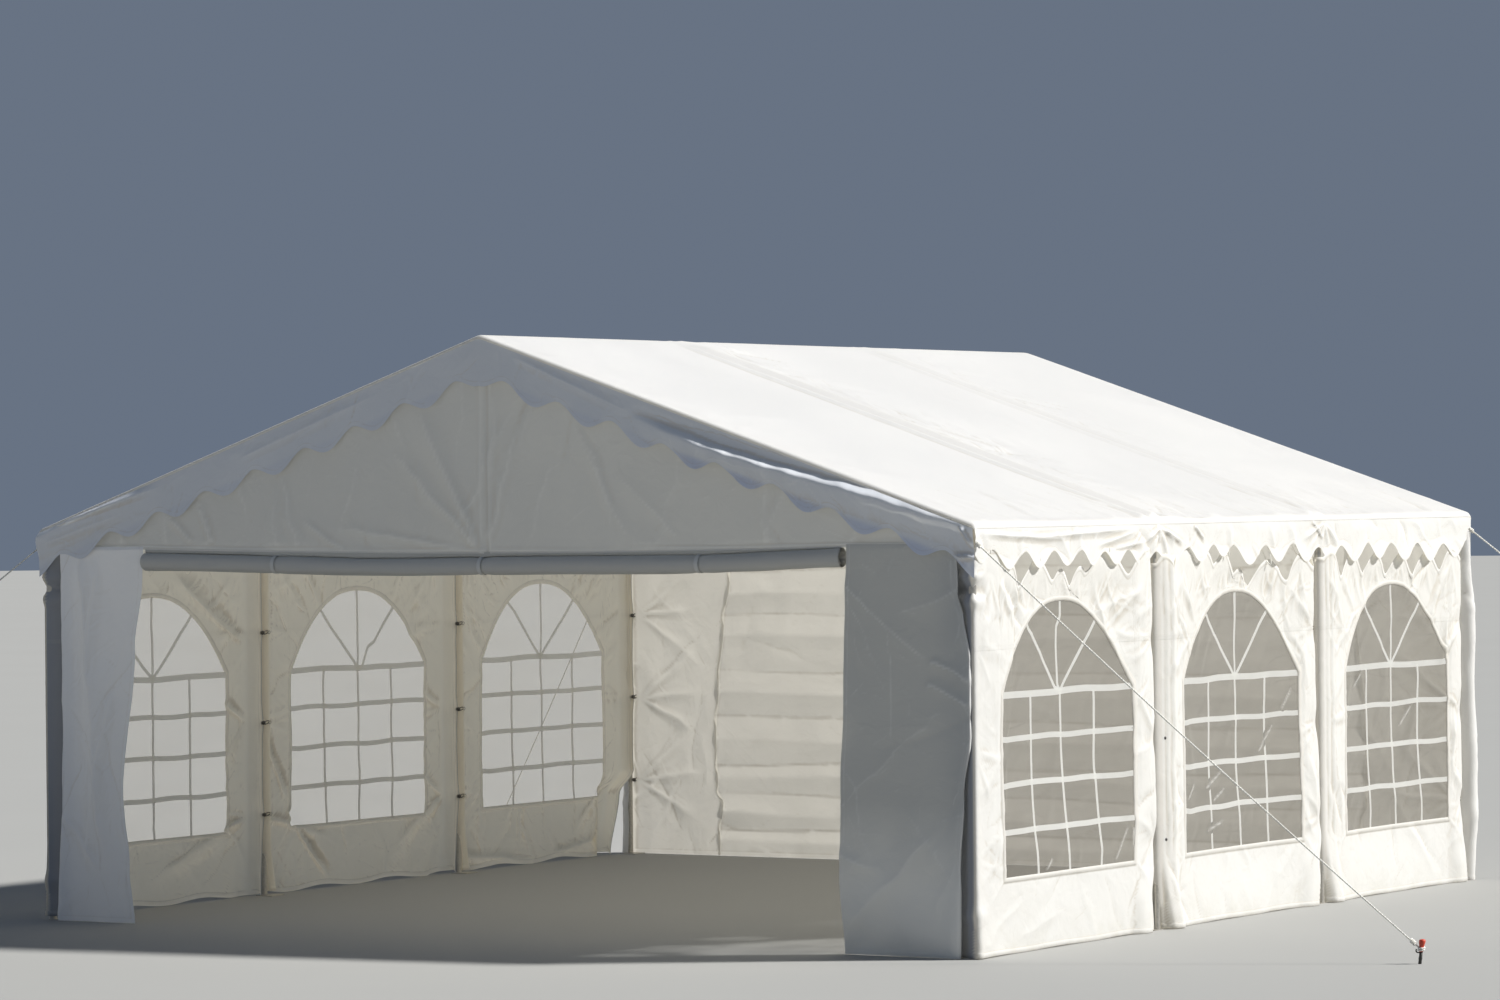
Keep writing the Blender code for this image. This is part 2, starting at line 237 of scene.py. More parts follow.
@dataclass(frozen=True)
class Fold:
    """A crease between two places on a sheet. It is height proud at its crest and widens by spread."""

    start: Point
    end: Point
    width: float = 0.05
    height: float = 0.006
    spread: float = 0.0
    onset: float = 0.12

    def lift(self, u: Array, v: Array) -> Array:
        """How far the crease lifts the sheet at each place.

        Args:
            u: places across.
            v: places up.

        Returns:
            The lifts.
        """
        way = np.subtract(self.end, self.start)
        length = float(np.hypot(*way))
        way = way / length
        along = ((u - self.start[0]) * way[0] + (v - self.start[1]) * way[1]) / length
        across = (v - self.start[1]) * way[0] - (u - self.start[0]) * way[1]
        width = self.width + self.spread * length * np.clip(along, 0.0, 1.0)
        crest = np.maximum(0.0, 1.0 - np.abs(across) / width) ** 2
        return self.height * crest * ease(0.0, self.onset, along) * ease(0.0, 0.35, 1.0 - along)


def fan(centre: Point, angles: Iterable[float], reach: float, height: float, seed: int) -> list[Fold]:
    """Folds that run out from a place where a sheet is pulled.

    Args:
        centre: where the pull is, in the sheet's flat coordinates.
        angles: the way of each fold, in degrees from the sheet's across direction.
        reach: about how long the folds are.
        height: about how proud they are.
        seed: for their uneven lengths and heights.

    Returns:
        The folds.
    """
    rng = np.random.default_rng(seed)
    made = []
    for angle in angles:
        turn = math.radians(angle + rng.uniform(-5, 5))
        length = reach * rng.uniform(0.65, 1.25)
        end = (centre[0] + length * math.cos(turn), centre[1] + length * math.sin(turn))
        proud = height * rng.uniform(0.6, 1.2)
        made.append(Fold(centre, end, 0.018, proud, spread=0.17, onset=0.3))
    return made


def folded(*rows: Sequence[float]) -> list[Fold]:
    """Folds from rows of start, end, width, height, spread and onset."""
    return [Fold((u, v), (end_u, end_v), *rest) for u, v, end_u, end_v, *rest in rows]


@dataclass
class Creases:
    """All that keeps a sheet from lying flat."""

    seed: int
    swell: float = 0.009
    swell_size: float = 0.75
    crumple: float = 0.0012
    crumple_size: float = 0.11
    facet: float = 0.006
    facet_size: float = 0.34
    way: float = 75.0
    spread: float = 60.0
    folds: list[Fold] = field(default_factory=list)

    def __call__(self, u: Array, v: Array) -> Array:
        """How far the sheet stands proud at each place.

        Args:
            u: places across.
            v: places up.

        Returns:
            The heights.
        """
        noise = Lattice(self.seed)
        total = self.swell * noise.cloudy(u, v, self.swell_size)
        total = total + self.facet * noise.crinkled(u, v, self.facet_size, self.way, self.spread)
        total = total + self.crumple * noise.crinkled(u + 40.0, v, self.crumple_size, self.way, 90.0)
        u = u + 0.014 * noise.at(u * 5.0, v * 5.0)
        v = v + 0.014 * noise.at(u * 5.0 + 9.0, v * 5.0)
        for fold in self.folds:
            total = total + fold.lift(u, v)
        return total


class Face(Enum):
    """A side of the tent. A wall's own coordinates are along it, outwards and up."""

    RIGHT = "right"
    LEFT = "left"
    FRONT = "front"
    REAR = "rear"

    def world(self, along: Array, out: Array, up: Array) -> Array:
        """Points in the row frame of places on this side.

        Args:
            along: distances along the wall.
            out: distances out from the middle.
            up: heights.

        Returns:
            The points.
        """
        sign = 1.0 if self in (Face.RIGHT, Face.REAR) else -1.0
        if self in (Face.RIGHT, Face.LEFT):
            return stacked(sign * out, along, up)
        return stacked(along, sign * out, up)

    @property
    def outward(self) -> Vector:
        """The way out of the tent."""
        return Vector(self.world(np.float64(0.0), np.float64(1.0), np.float64(0.0)))


def lengths(points: Array) -> Array:
    """How far along a line each of its points is."""
    return np.concatenate([[0.0], np.cumsum(np.hypot(*np.diff(points, axis=0).T))])


class PlanPath:
    """The line that a wall follows on the plan. Its measure equals the distance along the wall at middle."""

    def __init__(self, points: Sequence[Point], middle: float) -> None:
        """Follows a smooth curve.

        Args:
            points: places on the plan, along and out.
            middle: where measure and distance agree.
        """
        dense = self._curve(np.array(points, float))
        measure = lengths(dense)
        nearest = int(np.argmin(np.abs(dense[:, 0] - middle)))
        self.points = dense
        self.measure = measure - measure[nearest] + dense[nearest, 0]
        way = np.gradient(dense, self.measure, axis=0)
        self.way = way / np.linalg.norm(way, axis=1)[:, None]

    @staticmethod
    def _curve(points: Array, steps: int = 14) -> Array:
        """Points on the smooth curve through the given ones.

        Args:
            points: the given places.
            steps: how many places each stretch gets.

        Returns:
            The places.
        """
        padded = np.vstack([2 * points[0] - points[1], points, 2 * points[-1] - points[-2]])
        made = []
        for before, start, end, after in zip(padded, padded[1:], padded[2:], padded[3:]):
            near, far = np.linalg.norm(start - before) ** 0.5, np.linalg.norm(end - start) ** 0.5
            last = np.linalg.norm(after - end) ** 0.5
            leave = (start - before) / near - (end - before) / (near + far) + (end - start) / far
            arrive = (end - start) / far - (after - start) / (far + last) + (after - end) / last
            for t in np.arange(steps) / steps:
                line = (2 * t**3 - 3 * t**2 + 1) * start + (3 * t**2 - 2 * t**3) * end
                made.append(line + far * ((t**3 - 2 * t**2 + t) * leave + (t**3 - t**2) * arrive))
        return np.vstack([made, points[-1]])

    @property
    def start(self) -> float:
        """Measure of the first end."""
        return float(self.measure[0])

    @property
    def end(self) -> float:
        """Measure of the last end."""
        return float(self.measure[-1])

    def place(self, face: Face, u: Array, up: Array, lift: Array) -> Array:
        """Points of the wall in the row frame. Past its ends the line runs straight on.

        Args:
            face: the side of the tent.
            u: measures along the line.
            up: heights.
            lift: distances outwards from the line.

        Returns:
            The points.
        """
        along, out = (np.interp(u, self.measure, self.points[:, axis]) for axis in (0, 1))
        way_along, way_out = (np.interp(u, self.measure, self.way[:, axis]) for axis in (0, 1))
        past = u - np.clip(u, self.start, self.end)
        along = along + past * way_along - lift * way_out
        out = out + past * way_out + lift * way_along
        return face.world(along, out, up)


def maths_operator(operation: str, swapped: bool = False) -> Callable[[Socket, Value], Socket]:
    """A Python operator of sockets that adds a Math node.

    Args:
        operation: the node's operation.
        swapped: whether the other value comes first.

    Returns:
        The method for it.
    """

    def applied(this: Socket, other: Value) -> Socket:
        """The node's output."""
        return this.maths(operation, *((other, this) if swapped else (this, other)))

    return applied


class Socket:
    """A node's output, whose Python operators add Math nodes."""

    __add__, __radd__ = maths_operator("ADD"), maths_operator("ADD", True)
    __sub__, __rsub__ = maths_operator("SUBTRACT"), maths_operator("SUBTRACT", True)
    __mul__, __rmul__ = maths_operator("MULTIPLY"), maths_operator("MULTIPLY", True)
    __truediv__, __pow__ = maths_operator("DIVIDE"), maths_operator("POWER")
    __lt__, __gt__ = maths_operator("LESS_THAN"), maths_operator("GREATER_THAN")

    def __init__(self, graph: Graph, socket: bpy.types.NodeSocket) -> None:
        """Keeps the output and its tree."""
        self.graph = graph
        self.socket = socket

    def maths(self, operation: str, *values: Value) -> Socket:
        """The output of a Math node over some values."""
        return self.graph.node("ShaderNodeMath", {"operation": operation}, dict(enumerate(values)))

    def __abs__(self) -> Socket:
        """Size without its sign."""
        return self.maths("ABSOLUTE", self)

    def wave(self) -> Socket:
        """Sine."""
        return self.maths("SINE", self)

    def clipped(self, low: float, high: float) -> Socket:
        """Runs from 0 at low to 1 at high and stays within them."""
        ranges = {"Value": self, "From Min": low, "From Max": high}
        return self.graph.node("ShaderNodeMapRange", {"clamp": True}, ranges)


Value = Socket | float | Sequence[float]


class Graph:
    """A node tree that is built by one method."""

    def __init__(self, tree: bpy.types.NodeTree) -> None:
        """Keeps the tree."""
        self.tree = tree

    def node(
        self,
        kind: str,
        settings: dict[str, object] | None = None,
        inputs: dict[str | int, Value] | None = None,
        output: str | int = 0,
    ) -> Socket:
        """Adds a node.

        Args:
            kind: the node's type.
            settings: its properties, set first.
            inputs: values or links, by the socket's name or number.
            output: the output that is wanted.

        Returns:
            That output.
        """
        made = self.tree.nodes.new(kind)
        for name, value in (settings or {}).items():
            setattr(made, name, value)
        for key, value in (inputs or {}).items():
            socket = made.inputs[key]
            if isinstance(value, Socket):
                self.tree.links.new(value.socket, socket)
            else:
                socket.default_value = value
        return Socket(self, made.outputs[output])

    def place(self) -> Socket:
        """Places in the piece's own coordinates."""
        return self.node("ShaderNodeTexCoord", None, None, "Object")

    def cloth(self) -> Socket:
        """Places in the sheet's flat coordinates."""
        return self.node("ShaderNodeUVMap", {"uv_map": CLOTH_MAP})

    def attribute(self, name: str) -> Socket:
        """A number that the mesh's points hold."""
        return self.node("ShaderNodeAttribute", {"attribute_name": name}, None, "Fac")

    def principled(self, inputs: dict[str | int, Value]) -> Socket:
        """An opaque surface."""
        return self.node("ShaderNodeBsdfPrincipled", None, inputs)

    def split(self, vector: Socket) -> tuple[Socket, Socket, Socket]:
        """The three parts of a vector."""
        first = self.node("ShaderNodeSeparateXYZ", None, {0: vector})
        return tuple(Socket(self, output) for output in first.socket.node.outputs)

    def noise(self, at: Socket, scale: float, detail: float = 2.0, distortion: float = 0.0) -> Socket:
        """Noise from 0 to 1."""
        inputs = {"Vector": at, "Scale": scale, "Detail": detail, "Distortion": distortion}
        return self.node("ShaderNodeTexNoise", None, inputs)

    def ridges(self, at: Socket, scale: float, sharpness: float, distortion: float = 0.5) -> Socket:
        """Thin wandering crests, 1 on them."""
        wave = abs(self.noise(at, scale, 2.0, distortion) * 2.0 - 1.0)
        return (1.0 - wave) ** sharpness

    def blend(self, share: Value, first: Value, second: Value) -> Socket:
        """A mix of two colours.

        Args:
            share: how much there is of the second.
            first: a colour or a link.
            second: another.

        Returns:
            The mix.
        """
        inputs = {0: share}
        for key, value in ((6, first), (7, second)):
            inputs[key] = value if isinstance(value, Socket) else rgba(value)
        return self.node("ShaderNodeMix", {"data_type": "RGBA", "blend_type": "MIX"}, inputs, 2)

    def bump(self, height: Socket, distance: float, under: Socket | None = None) -> Socket:
        """A normal that shows a height, over another normal.

        Args:
            height: the height.
            distance: how much 1 stands for.
            under: the other normal.

        Returns:
            The normal.
        """
        inputs: dict[str | int, Value] = {"Height": height, "Distance": distance, "Strength": 1.0}
        if under is not None:
            inputs["Normal"] = under
        return self.node("ShaderNodeBump", None, inputs)


def rgba(colour: Sequence[float]) -> tuple[float, float, float, float]:
    """A colour with full alpha."""
    return (*colour, 1.0)


class Finish:
    """A material that is made once, when a piece first asks for it."""

    made: dict[str, bpy.types.Material] = {}
    name: str

    def shade(self, graph: Graph) -> Socket:
        """The surface shader."""
        raise NotImplementedError

    def material(self) -> bpy.types.Material:
        """The material, built at its first use.

        Returns:
            The material.
        """
        if self.name not in Finish.made:
            material = bpy.data.materials.new(self.name)
            material.use_nodes = True
            material.node_tree.nodes.clear()
            graph = Graph(material.node_tree)
            surface = self.shade(graph)
            output = material.node_tree.nodes.new("ShaderNodeOutputMaterial")
            material.node_tree.links.new(surface.socket, output.inputs["Surface"])
            Finish.made[self.name] = material
        return Finish.made[self.name]


@dataclass(frozen=True)
class Fabric(Finish):
    """Coated woven cloth that lets some light through."""

    name: str
    colour: tuple[float, float, float] = (0.86, 0.86, 0.845)
    # colour of dust, and of the painted shade in creases
    dust_and_shade_colour: tuple[float, float, float] = (0.60, 0.55, 0.47)
    # tint of hems and welts, and of painted shade and painted glow where those are marked
    trim_and_painted_light_colour: tuple[float, float, float] = (0.63, 0.59, 0.53)
    glow: tuple[float, float, float] = (1.0, 0.95, 0.82)
    through: float = 0.36
    crumple: float = 1.0
    grime: float = 0.5
    # strength of the painted shade in creases, read from the hollow attribute
    hollow: float = 0.55
    veil: float = 0.85  # how much less light from behind passes where there is dust and painted crease shade
    foot: float = 0.0  # how much paler the cloth is near the ground: painted light, as from sunlit ground
    seams_across: tuple[float, ...] = ()
    seams_up: tuple[float, ...] = ()
    seams_from: float = 0.0
    seam_half: float = 0.011  # half a seam's width

    def shade(self, graph: Graph) -> Socket:
        """Weave, crumples, welded seams, dust, splashes near the ground, and painted shade and light.

        Args:
            graph: the tree to build in.

        Returns:
            The surface shader.
        """
        flat = graph.cloth()
        u, v, _ = graph.split(flat)
        where = graph.place()
        height = graph.split(where)[2]
        hollow = graph.attribute("hollow")
        trim_and_painted_light = graph.attribute("trim_and_painted_light")

        # painted shadow: dark blue grey where the mark passes 1, in recesses and slits by the legs
        painted_shadow = (trim_and_painted_light - 1.0).clipped(0.0, 1.0)
        long = graph.ridges(flat, 2.2, 4.0, 1.6)
        short = graph.noise(flat, 9.0, 2.0, 1.2)
        fine = graph.noise(flat, 21.0, 3.0, 0.3)
        crumple = long * 0.16 + short * 0.42 + fine * 0.16
        tape = (u * 1800.0).wave() + (v * 1800.0).wave()
        seam = self._seams(u, v)
        normal = graph.bump(tape, 0.00012)
        normal = graph.bump(crumple, 0.0052 * self.crumple, normal)
        if seam is not None:
            normal = graph.bump(seam, 0.0012, normal)

        dust = graph.noise(flat, 0.9, 4.0, 0.4).clipped(0.42, 0.75)
        # worn: dust and streaks in the cloth, and painted shade in creases from the hollow attribute
        worn = (dust * 0.2 + long * 0.06) * self.grime + hollow.clipped(0.12, 0.95) * self.hollow
        colour = graph.blend(worn, self.colour, self.dust_and_shade_colour)
        # painted highlight: the crests of folds are lighter
        colour = graph.blend((hollow * -1.0).clipped(0.1, 1.0) * 0.3, colour, (0.93, 0.93, 0.92))
        # tint of hems and welts, and painted light: painted shade in the grooves by the legs and on gable
        # valance tips, painted glow along the eave valance's hem
        colour = graph.blend(trim_and_painted_light.clipped(0.0, 1.0) * 0.45, colour, self.trim_and_painted_light_colour)
        colour = graph.blend(painted_shadow * 0.9, colour, (0.20, 0.22, 0.26))
        # painted light: the cloth is paler near the ground, as if lit from the ground
        low = 1.0 - height.clipped(0.32, 0.78)
        colour = graph.blend(low * self.foot, colour, (0.84, 0.84, 0.81))
        splash = (1.0 - height.clipped(0.0, 0.32)) ** 2.0
        splash = splash * graph.noise(where, 9.0, 5.0).clipped(0.35, 0.75) * self.grime
        colour = graph.blend(splash * 0.6, colour, (0.55, 0.51, 0.40))
        if seam is not None:
            colour = graph.blend(seam * 0.09, colour, (0.55, 0.55, 0.53))
        rough = 0.42 + 0.2 * dust + 0.1 * fine
        inputs = {"Base Color": colour, "Roughness": rough, "Normal": normal}
        inputs |= {"Specular IOR Level": 0.42, "Sheen Weight": 0.06}
        front = graph.principled(inputs)
        tint = [part * light for part, light in zip(self.colour, self.glow)]
        back = graph.node("ShaderNodeBsdfTranslucent", None, {"Color": rgba(tint), "Normal": normal})
        # painted shade: less light comes through in creases, in dusty patches and where the painted shadow is
        share = (1.0 - worn * self.veil) * (1.0 - painted_shadow) * self.through
        return graph.node("ShaderNodeMixShader", None, {0: share, 1: front, 2: back})

    def _seams(self, u: Socket, v: Socket) -> Socket | None:
        """1 on the welded seams, which run up the sheet or across it.

        Args:
            u: places across.
            v: places up.

        Returns:
            The marks, or None without seams.
        """
        lines = [abs(u - place) < self.seam_half for place in self.seams_up]
        lines = [line * (v > self.seams_from) for line in lines]
        lines += [abs(v - place) < self.seam_half for place in self.seams_across]
        total = None
        for line in lines:
            total = line if total is None else total + line
        return total


@dataclass(frozen=True)
class ClearFilm(Finish):
    """Soft clear window film, a little hazy, with painted highlights along a few creases."""

    name: str = "clear_film"
    haze: float = 0.16
    dull: tuple[float, float, float] = (0.64, 0.58, 0.46)
    clean: tuple[float, float, float] = (0.74, 0.68, 0.56)

    def shade(self, graph: Graph) -> Socket:
        """Even haze with soft slanting bands over a glossy, nearly clear sheet.

        Args:
            graph: the tree to build in.

        Returns:
            The surface shader.
        """
        flat = graph.cloth()
        slant = {"Vector": flat, "Rotation": (0.0, 0.0, 0.85), "Scale": (0.5, 2.6, 1.0)}
        turned = graph.node("ShaderNodeMapping", None, slant)
        band = graph.noise(turned, 2.4, 3.0, 0.4).clipped(0.42, 0.72)
        scratch = graph.ridges(turned, 1.7, 46.0, 0.25)
        scratch = scratch * graph.noise(flat, 2.1, 1.0).clipped(0.5, 0.72)
        cloud = graph.noise(flat, 2.2, 3.0, 0.3)
        # painted highlights along the film's creases: a brighter colour and more haze
        painted_glint = graph.attribute("trim_and_painted_light")
        haze = self.haze + cloud * 0.05 + band * 0.05 + scratch * 0.06 + painted_glint * 0.16
        normal = graph.bump(graph.noise(turned, 3.0, 2.0) + scratch * 0.4, 0.004)
        colour = graph.blend(cloud, self.dull, self.clean)
        inputs = {
            "Base Color": graph.blend(painted_glint * 0.5, colour, (0.8, 0.8, 0.77)),
            "Roughness": 0.12 + cloud * 0.14,
            "Alpha": haze,
            "Normal": normal,
            "Specular IOR Level": 0.5,
        }
        return graph.principled(inputs)


@dataclass(frozen=True)
class Plastic(Finish):
    """Moulded or printed plastic."""

    name: str
    colour: tuple[float, float, float]
    worn: tuple[float, float, float]
    roughness: float = 0.4
    grain: float = 60.0
    depth: float = 0.0004
    through: float = 0.0

    def shade(self, graph: Graph) -> Socket:
        """A fine grain, with scuffs of a second colour. Thin print lets some light through.

        Args:
            graph: the tree to build in.

        Returns:
            The surface shader.
        """
        where = graph.place()
        cloud = graph.noise(where, self.grain * 0.3, 4.0, 0.5).clipped(0.4, 0.75)
        grain = graph.noise(where, self.grain * 6.0, 2.0)
        inputs = {
            "Base Color": graph.blend(cloud * 0.6, self.colour, self.worn),
            "Roughness": self.roughness + cloud * 0.18,
            "Normal": graph.bump(grain, self.depth),
        }
        front = graph.principled(inputs)
        if self.through == 0.0:
            return front
        back = graph.node("ShaderNodeBsdfTranslucent", None, {"Color": rgba(self.colour)})
        return graph.node("ShaderNodeMixShader", None, {0: self.through, 1: front, 2: back})


@dataclass(frozen=True)
class Galvanised(Finish):
    """Zinc-coated steel tube with its spangle."""

    name: str = "galvanised_steel"

    def shade(self, graph: Graph) -> Socket:
        """Crystals of slightly different greys, and dull patches.

        Args:
            graph: the tree to build in.

        Returns:
            The surface shader.
        """
        where = graph.place()
        cells = graph.node("ShaderNodeTexVoronoi", None, {"Vector": where, "Scale": 95.0}, "Color")
        grey = graph.node("ShaderNodeRGBToBW", None, {0: cells})
        dull = graph.noise(where, 5.0, 5.0, 0.3).clipped(0.42, 0.72)
        colour = graph.blend(grey, (0.43, 0.41, 0.37), (0.55, 0.53, 0.48))
        colour = graph.blend(dull * 0.45, colour, (0.36, 0.33, 0.28))
        inputs = {
            "Base Color": colour,
            "Metallic": 0.85 - dull * 0.4,
            "Roughness": 0.3 + grey * 0.12 + dull * 0.22,
            "Normal": graph.bump(graph.noise(where, 160.0, 3.0), 0.00025),
        }
        return graph.principled(inputs)


@dataclass(frozen=True)
class Fibre(Finish):
    """Rope or elastic cord of twisted fibres."""

    name: str
    colour: tuple[float, float, float]
    worn: tuple[float, float, float]

    def shade(self, graph: Graph) -> Socket:
        """Fine fibres, and dirt in patches along the cord.

        Args:
            graph: the tree to build in.

        Returns:
            The surface shader.
        """
        where = graph.place()
        hairs = graph.noise(where, 900.0, 2.0, 0.8)
        dirt = graph.noise(where, 7.0, 4.0).clipped(0.4, 0.8)
        inputs = {
            "Base Color": graph.blend(dirt * 0.5 + hairs * 0.25, self.colour, self.worn),
            "Roughness": 0.72 + hairs * 0.2,
            "Normal": graph.bump(hairs, 0.0006),
            "Sheen Weight": 0.2,
        }
        return graph.principled(inputs)


@dataclass(frozen=True)
class PaleFloor(Finish):
    """The studio's floor."""

    name: str = "pale_floor"

    def shade(self, graph: Graph) -> Socket:
        """Plain, with the faintest unevenness.

        Args:
            graph: the tree to build in.

        Returns:
            The surface shader.
        """
        where = graph.place()
        cloud = graph.noise(where, 0.35, 3.0)
        colour = graph.blend(cloud, (0.285, 0.285, 0.275), (0.30, 0.30, 0.29))
        return graph.principled({"Base Color": colour, "Roughness": 0.9})


COVER_CLOTH = Fabric("cover_cloth", (0.89, 0.895, 0.91), through=0.47, crumple=0.5, grime=0.25, veil=0.0)
# painted shade: the gable valances' cloth is darker and bluer than the eave valances', with a blue tint for
# the shade on its tips
SHADED_SKIRT_CLOTH = Fabric(
    "skirt_cloth_painted_shade", (0.71, 0.74, 0.79), trim_and_painted_light_colour=(0.28, 0.38, 0.66), through=0.1, grime=0.3
)
EAVE_CLOTH = Fabric("eave_cloth", (0.88, 0.88, 0.865), through=0.30, grime=0.35, hollow=0.6, veil=0.0)
WALL_CLOTH = Fabric(
    "wall_cloth", through=0.37, hollow=0.6, veil=0.0,
    seams_up=(-0.715, 0.715), seams_from=1.36, seams_across=(1.555,),
)
# painted light: the left walls' cloth is paler and warmer, with stronger painted shade in its creases
LIGHTENED_LEFT_CLOTH = replace(
    WALL_CLOTH, name="left_wall_cloth", colour=(0.97, 0.94, 0.87),
    through=0.55, hollow=0.8, grime=0.3, veil=1.0,
)
# painted shade: the gable panels' cloth is a darker grey than the walls'
SHADED_GABLE_CLOTH = Fabric("gable_cloth", (0.66, 0.67, 0.67), glow=(0.95, 0.94, 0.88), through=0.26, hollow=0.35)
# painted shade: darker grey cloth for the right front strip and the door roll, paler near the ground as
# painted light
SHADED_END_CLOTH = Fabric("end_cloth", (0.51, 0.52, 0.51), through=0.1, grime=0.1, hollow=0.2, foot=0.8)
# painted light: the left front strip's cloth is paler and bluer than the right one's
LIGHTENED_LEFT_END_CLOTH = Fabric("left_end_cloth", (0.88, 0.91, 0.97), through=0.25, grime=0.1, hollow=0.3)
REAR_CLOTH = Fabric("rear_cloth", glow=(1.0, 0.95, 0.86), through=0.33)
FILM = ClearFilm(haze=0.20)
# painted shade: a denser, dark film, so the right windows show the inside in shade
DARKENED_FILM = ClearFilm("film_painted_dark", 0.58, (0.142, 0.130, 0.108), (0.170, 0.158, 0.136))
PRINT = Plastic("printed_bars", (0.84, 0.84, 0.81), (0.76, 0.76, 0.72), 0.45, 25.0, 0.0002, 0.5)
STEEL = Galvanised()
ROPE = Fibre("guy_rope_fibre", (0.92, 0.91, 0.86), (0.80, 0.78, 0.68))
ELASTIC = Fibre("black_elastic", (0.035, 0.033, 0.03), (0.09, 0.08, 0.07))
BALL = Plastic("ball_plastic", (0.05, 0.045, 0.04), (0.11, 0.10, 0.085), 0.38)
PEG_BLACK = Plastic("peg_plastic", (0.022, 0.022, 0.02), (0.09, 0.09, 0.075), 0.42)
PEG_RED = Plastic("peg_head_plastic", (0.50, 0.045, 0.02), (0.62, 0.12, 0.05), 0.4)


class Slot(Enum):
    """The record's material slots."""

    COVER = "cover_fabric"
    WALL = "wall_fabric"
    FILM = "window_film"
    STEEL = "steel_tube"
    ROPE = "guy_rope"
    PEG = "peg"


def linked(name: str, data: bpy.types.ID) -> bpy.types.Object:
    """A new object in the scene.

    Args:
        name: its name.
        data: its mesh, camera or lamp.

    Returns:
        The object.
    """
    made = bpy.data.objects.new(name, data)
    bpy.context.scene.collection.objects.link(made)
    return made


def add_piece(
    name: str, mesh: bpy.types.Mesh, finish: Finish, replaces: Sequence[str] = ()
) -> bpy.types.Object:
    """Puts a finished mesh into the scene as a piece of the tent.

    Args:
        name: the piece's name.
        mesh: its mesh, in the row frame.
        finish: its material.
        replaces: the frame's nodes that it stands for.

    Returns:
        The piece.
    """
    piece = linked(name, mesh)
    mesh.materials.clear()
    mesh.materials.append(finish.material())
    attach(piece, "root")
    if replaces:
        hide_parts(*replaces)
    LOG.info("%s: %d faces", name, len(mesh.polygons))
    return piece


def hollows(rows: Array, outward: Vector, closed: bool) -> Array:
    """How deep each point of a sheet lies in a fold.

    Args:
        rows: points, as rows by columns by three.
        outward: the way that the sheet faces.
        closed: whether each row meets its own start.

    Returns:
        Depths from -1 on a sharp crest to 1 in a sharp valley.
    """
    tall = np.pad(rows, ((1, 1), (0, 0), (0, 0)), mode="edge")
    wide = np.pad(rows, ((0, 0), (1, 1), (0, 0)), mode="wrap" if closed else "edge")
    across, along = wide[:, 2:] - wide[:, :-2], tall[2:] - tall[:-2]
    normal = np.cross(across, along)
    normal /= np.linalg.norm(normal, axis=-1, keepdims=True) + 1e-12
    sign = 1.0 if float((normal.sum(axis=(0, 1)) * np.array(outward)).sum()) > 0 else -1.0
    bend = np.zeros(rows.shape)
    for ends, chord in ((wide[:, 2:] + wide[:, :-2], across), (tall[2:] + tall[:-2], along)):
        bend += (ends - 2.0 * rows) / ((chord**2).sum(axis=-1, keepdims=True) / 4.0 + 1e-5)
    return np.clip(sign * (bend * normal).sum(axis=-1) / SHARP_BEND, -1.0, 1.0)


def loft(
    name: str, rows: Array, flat: Array, outward: Vector, closed: bool = False, trim_and_painted_light: Array | float = 0.0
) -> bpy.types.Mesh:
    """A smooth mesh through a grid of points.

    Args:
        name: the mesh's name.
        rows: points, as rows by columns by three.
        flat: the same grid in the sheet's flat coordinates.
        outward: the way that its faces point.
        closed: whether each row meets its own start.
        trim_and_painted_light: how much of a hem each point is, from 0 to 1, and where light is painted:
            painted shade, glow and glints, and dark painted shadow above 1.

    Returns:
        The mesh, with its flat coordinates as a UV map, and the attributes hollow and trim.
    """
    height, width = rows.shape[:2]
    columns = np.arange(width if closed else width - 1)
    after = (columns + 1) % width
    low = (np.arange(height - 1) * width)[:, None]
    quads = np.stack([low + columns, low + after, low + width + after, low + width + columns], axis=-1)
    quads = quads.reshape(-1, 4)
    points = rows.reshape(-1, 3)
    a, b, d = points[quads[:, 0]], points[quads[:, 1]], points[quads[:, 3]]
    if float((np.cross(b - a, d - a).sum(axis=0) * np.array(outward)).sum()) < 0:
        quads = quads[:, ::-1]
    mesh = bpy.data.meshes.new(name)
    mesh.from_pydata(points.tolist(), [], quads.tolist())
    layer = mesh.uv_layers.new(name=CLOTH_MAP)
    corners = np.zeros(len(mesh.loops), np.int32)
    mesh.loops.foreach_get("vertex_index", corners)
    layer.data.foreach_set("uv", flat.reshape(-1, 2)[corners].astype(np.float32).ravel())
    marks = {"hollow": hollows(rows, outward, closed), "trim_and_painted_light": np.zeros((height, width)) + trim_and_painted_light}
    for label, values in marks.items():
        layer = mesh.attributes.new(label, "FLOAT", "POINT")
        layer.data.foreach_set("value", values.astype(np.float32).ravel())
    mesh.polygons.foreach_set("use_smooth", np.ones(len(mesh.polygons), bool))
    mesh.update()
    return mesh


def joined(name: str, meshes: Sequence[bpy.types.Mesh]) -> bpy.types.Mesh:
    """Several meshes as one.

    Args:
        name: the new mesh's name.
        meshes: the meshes, which are used up.

    Returns:
        The new mesh.
    """
    bm = bmesh.new()
    for mesh in meshes:
        bm.from_mesh(mesh)
        bpy.data.meshes.remove(mesh)
    made = bpy.data.meshes.new(name)
    bm.to_mesh(made)
    bm.free()
    return made


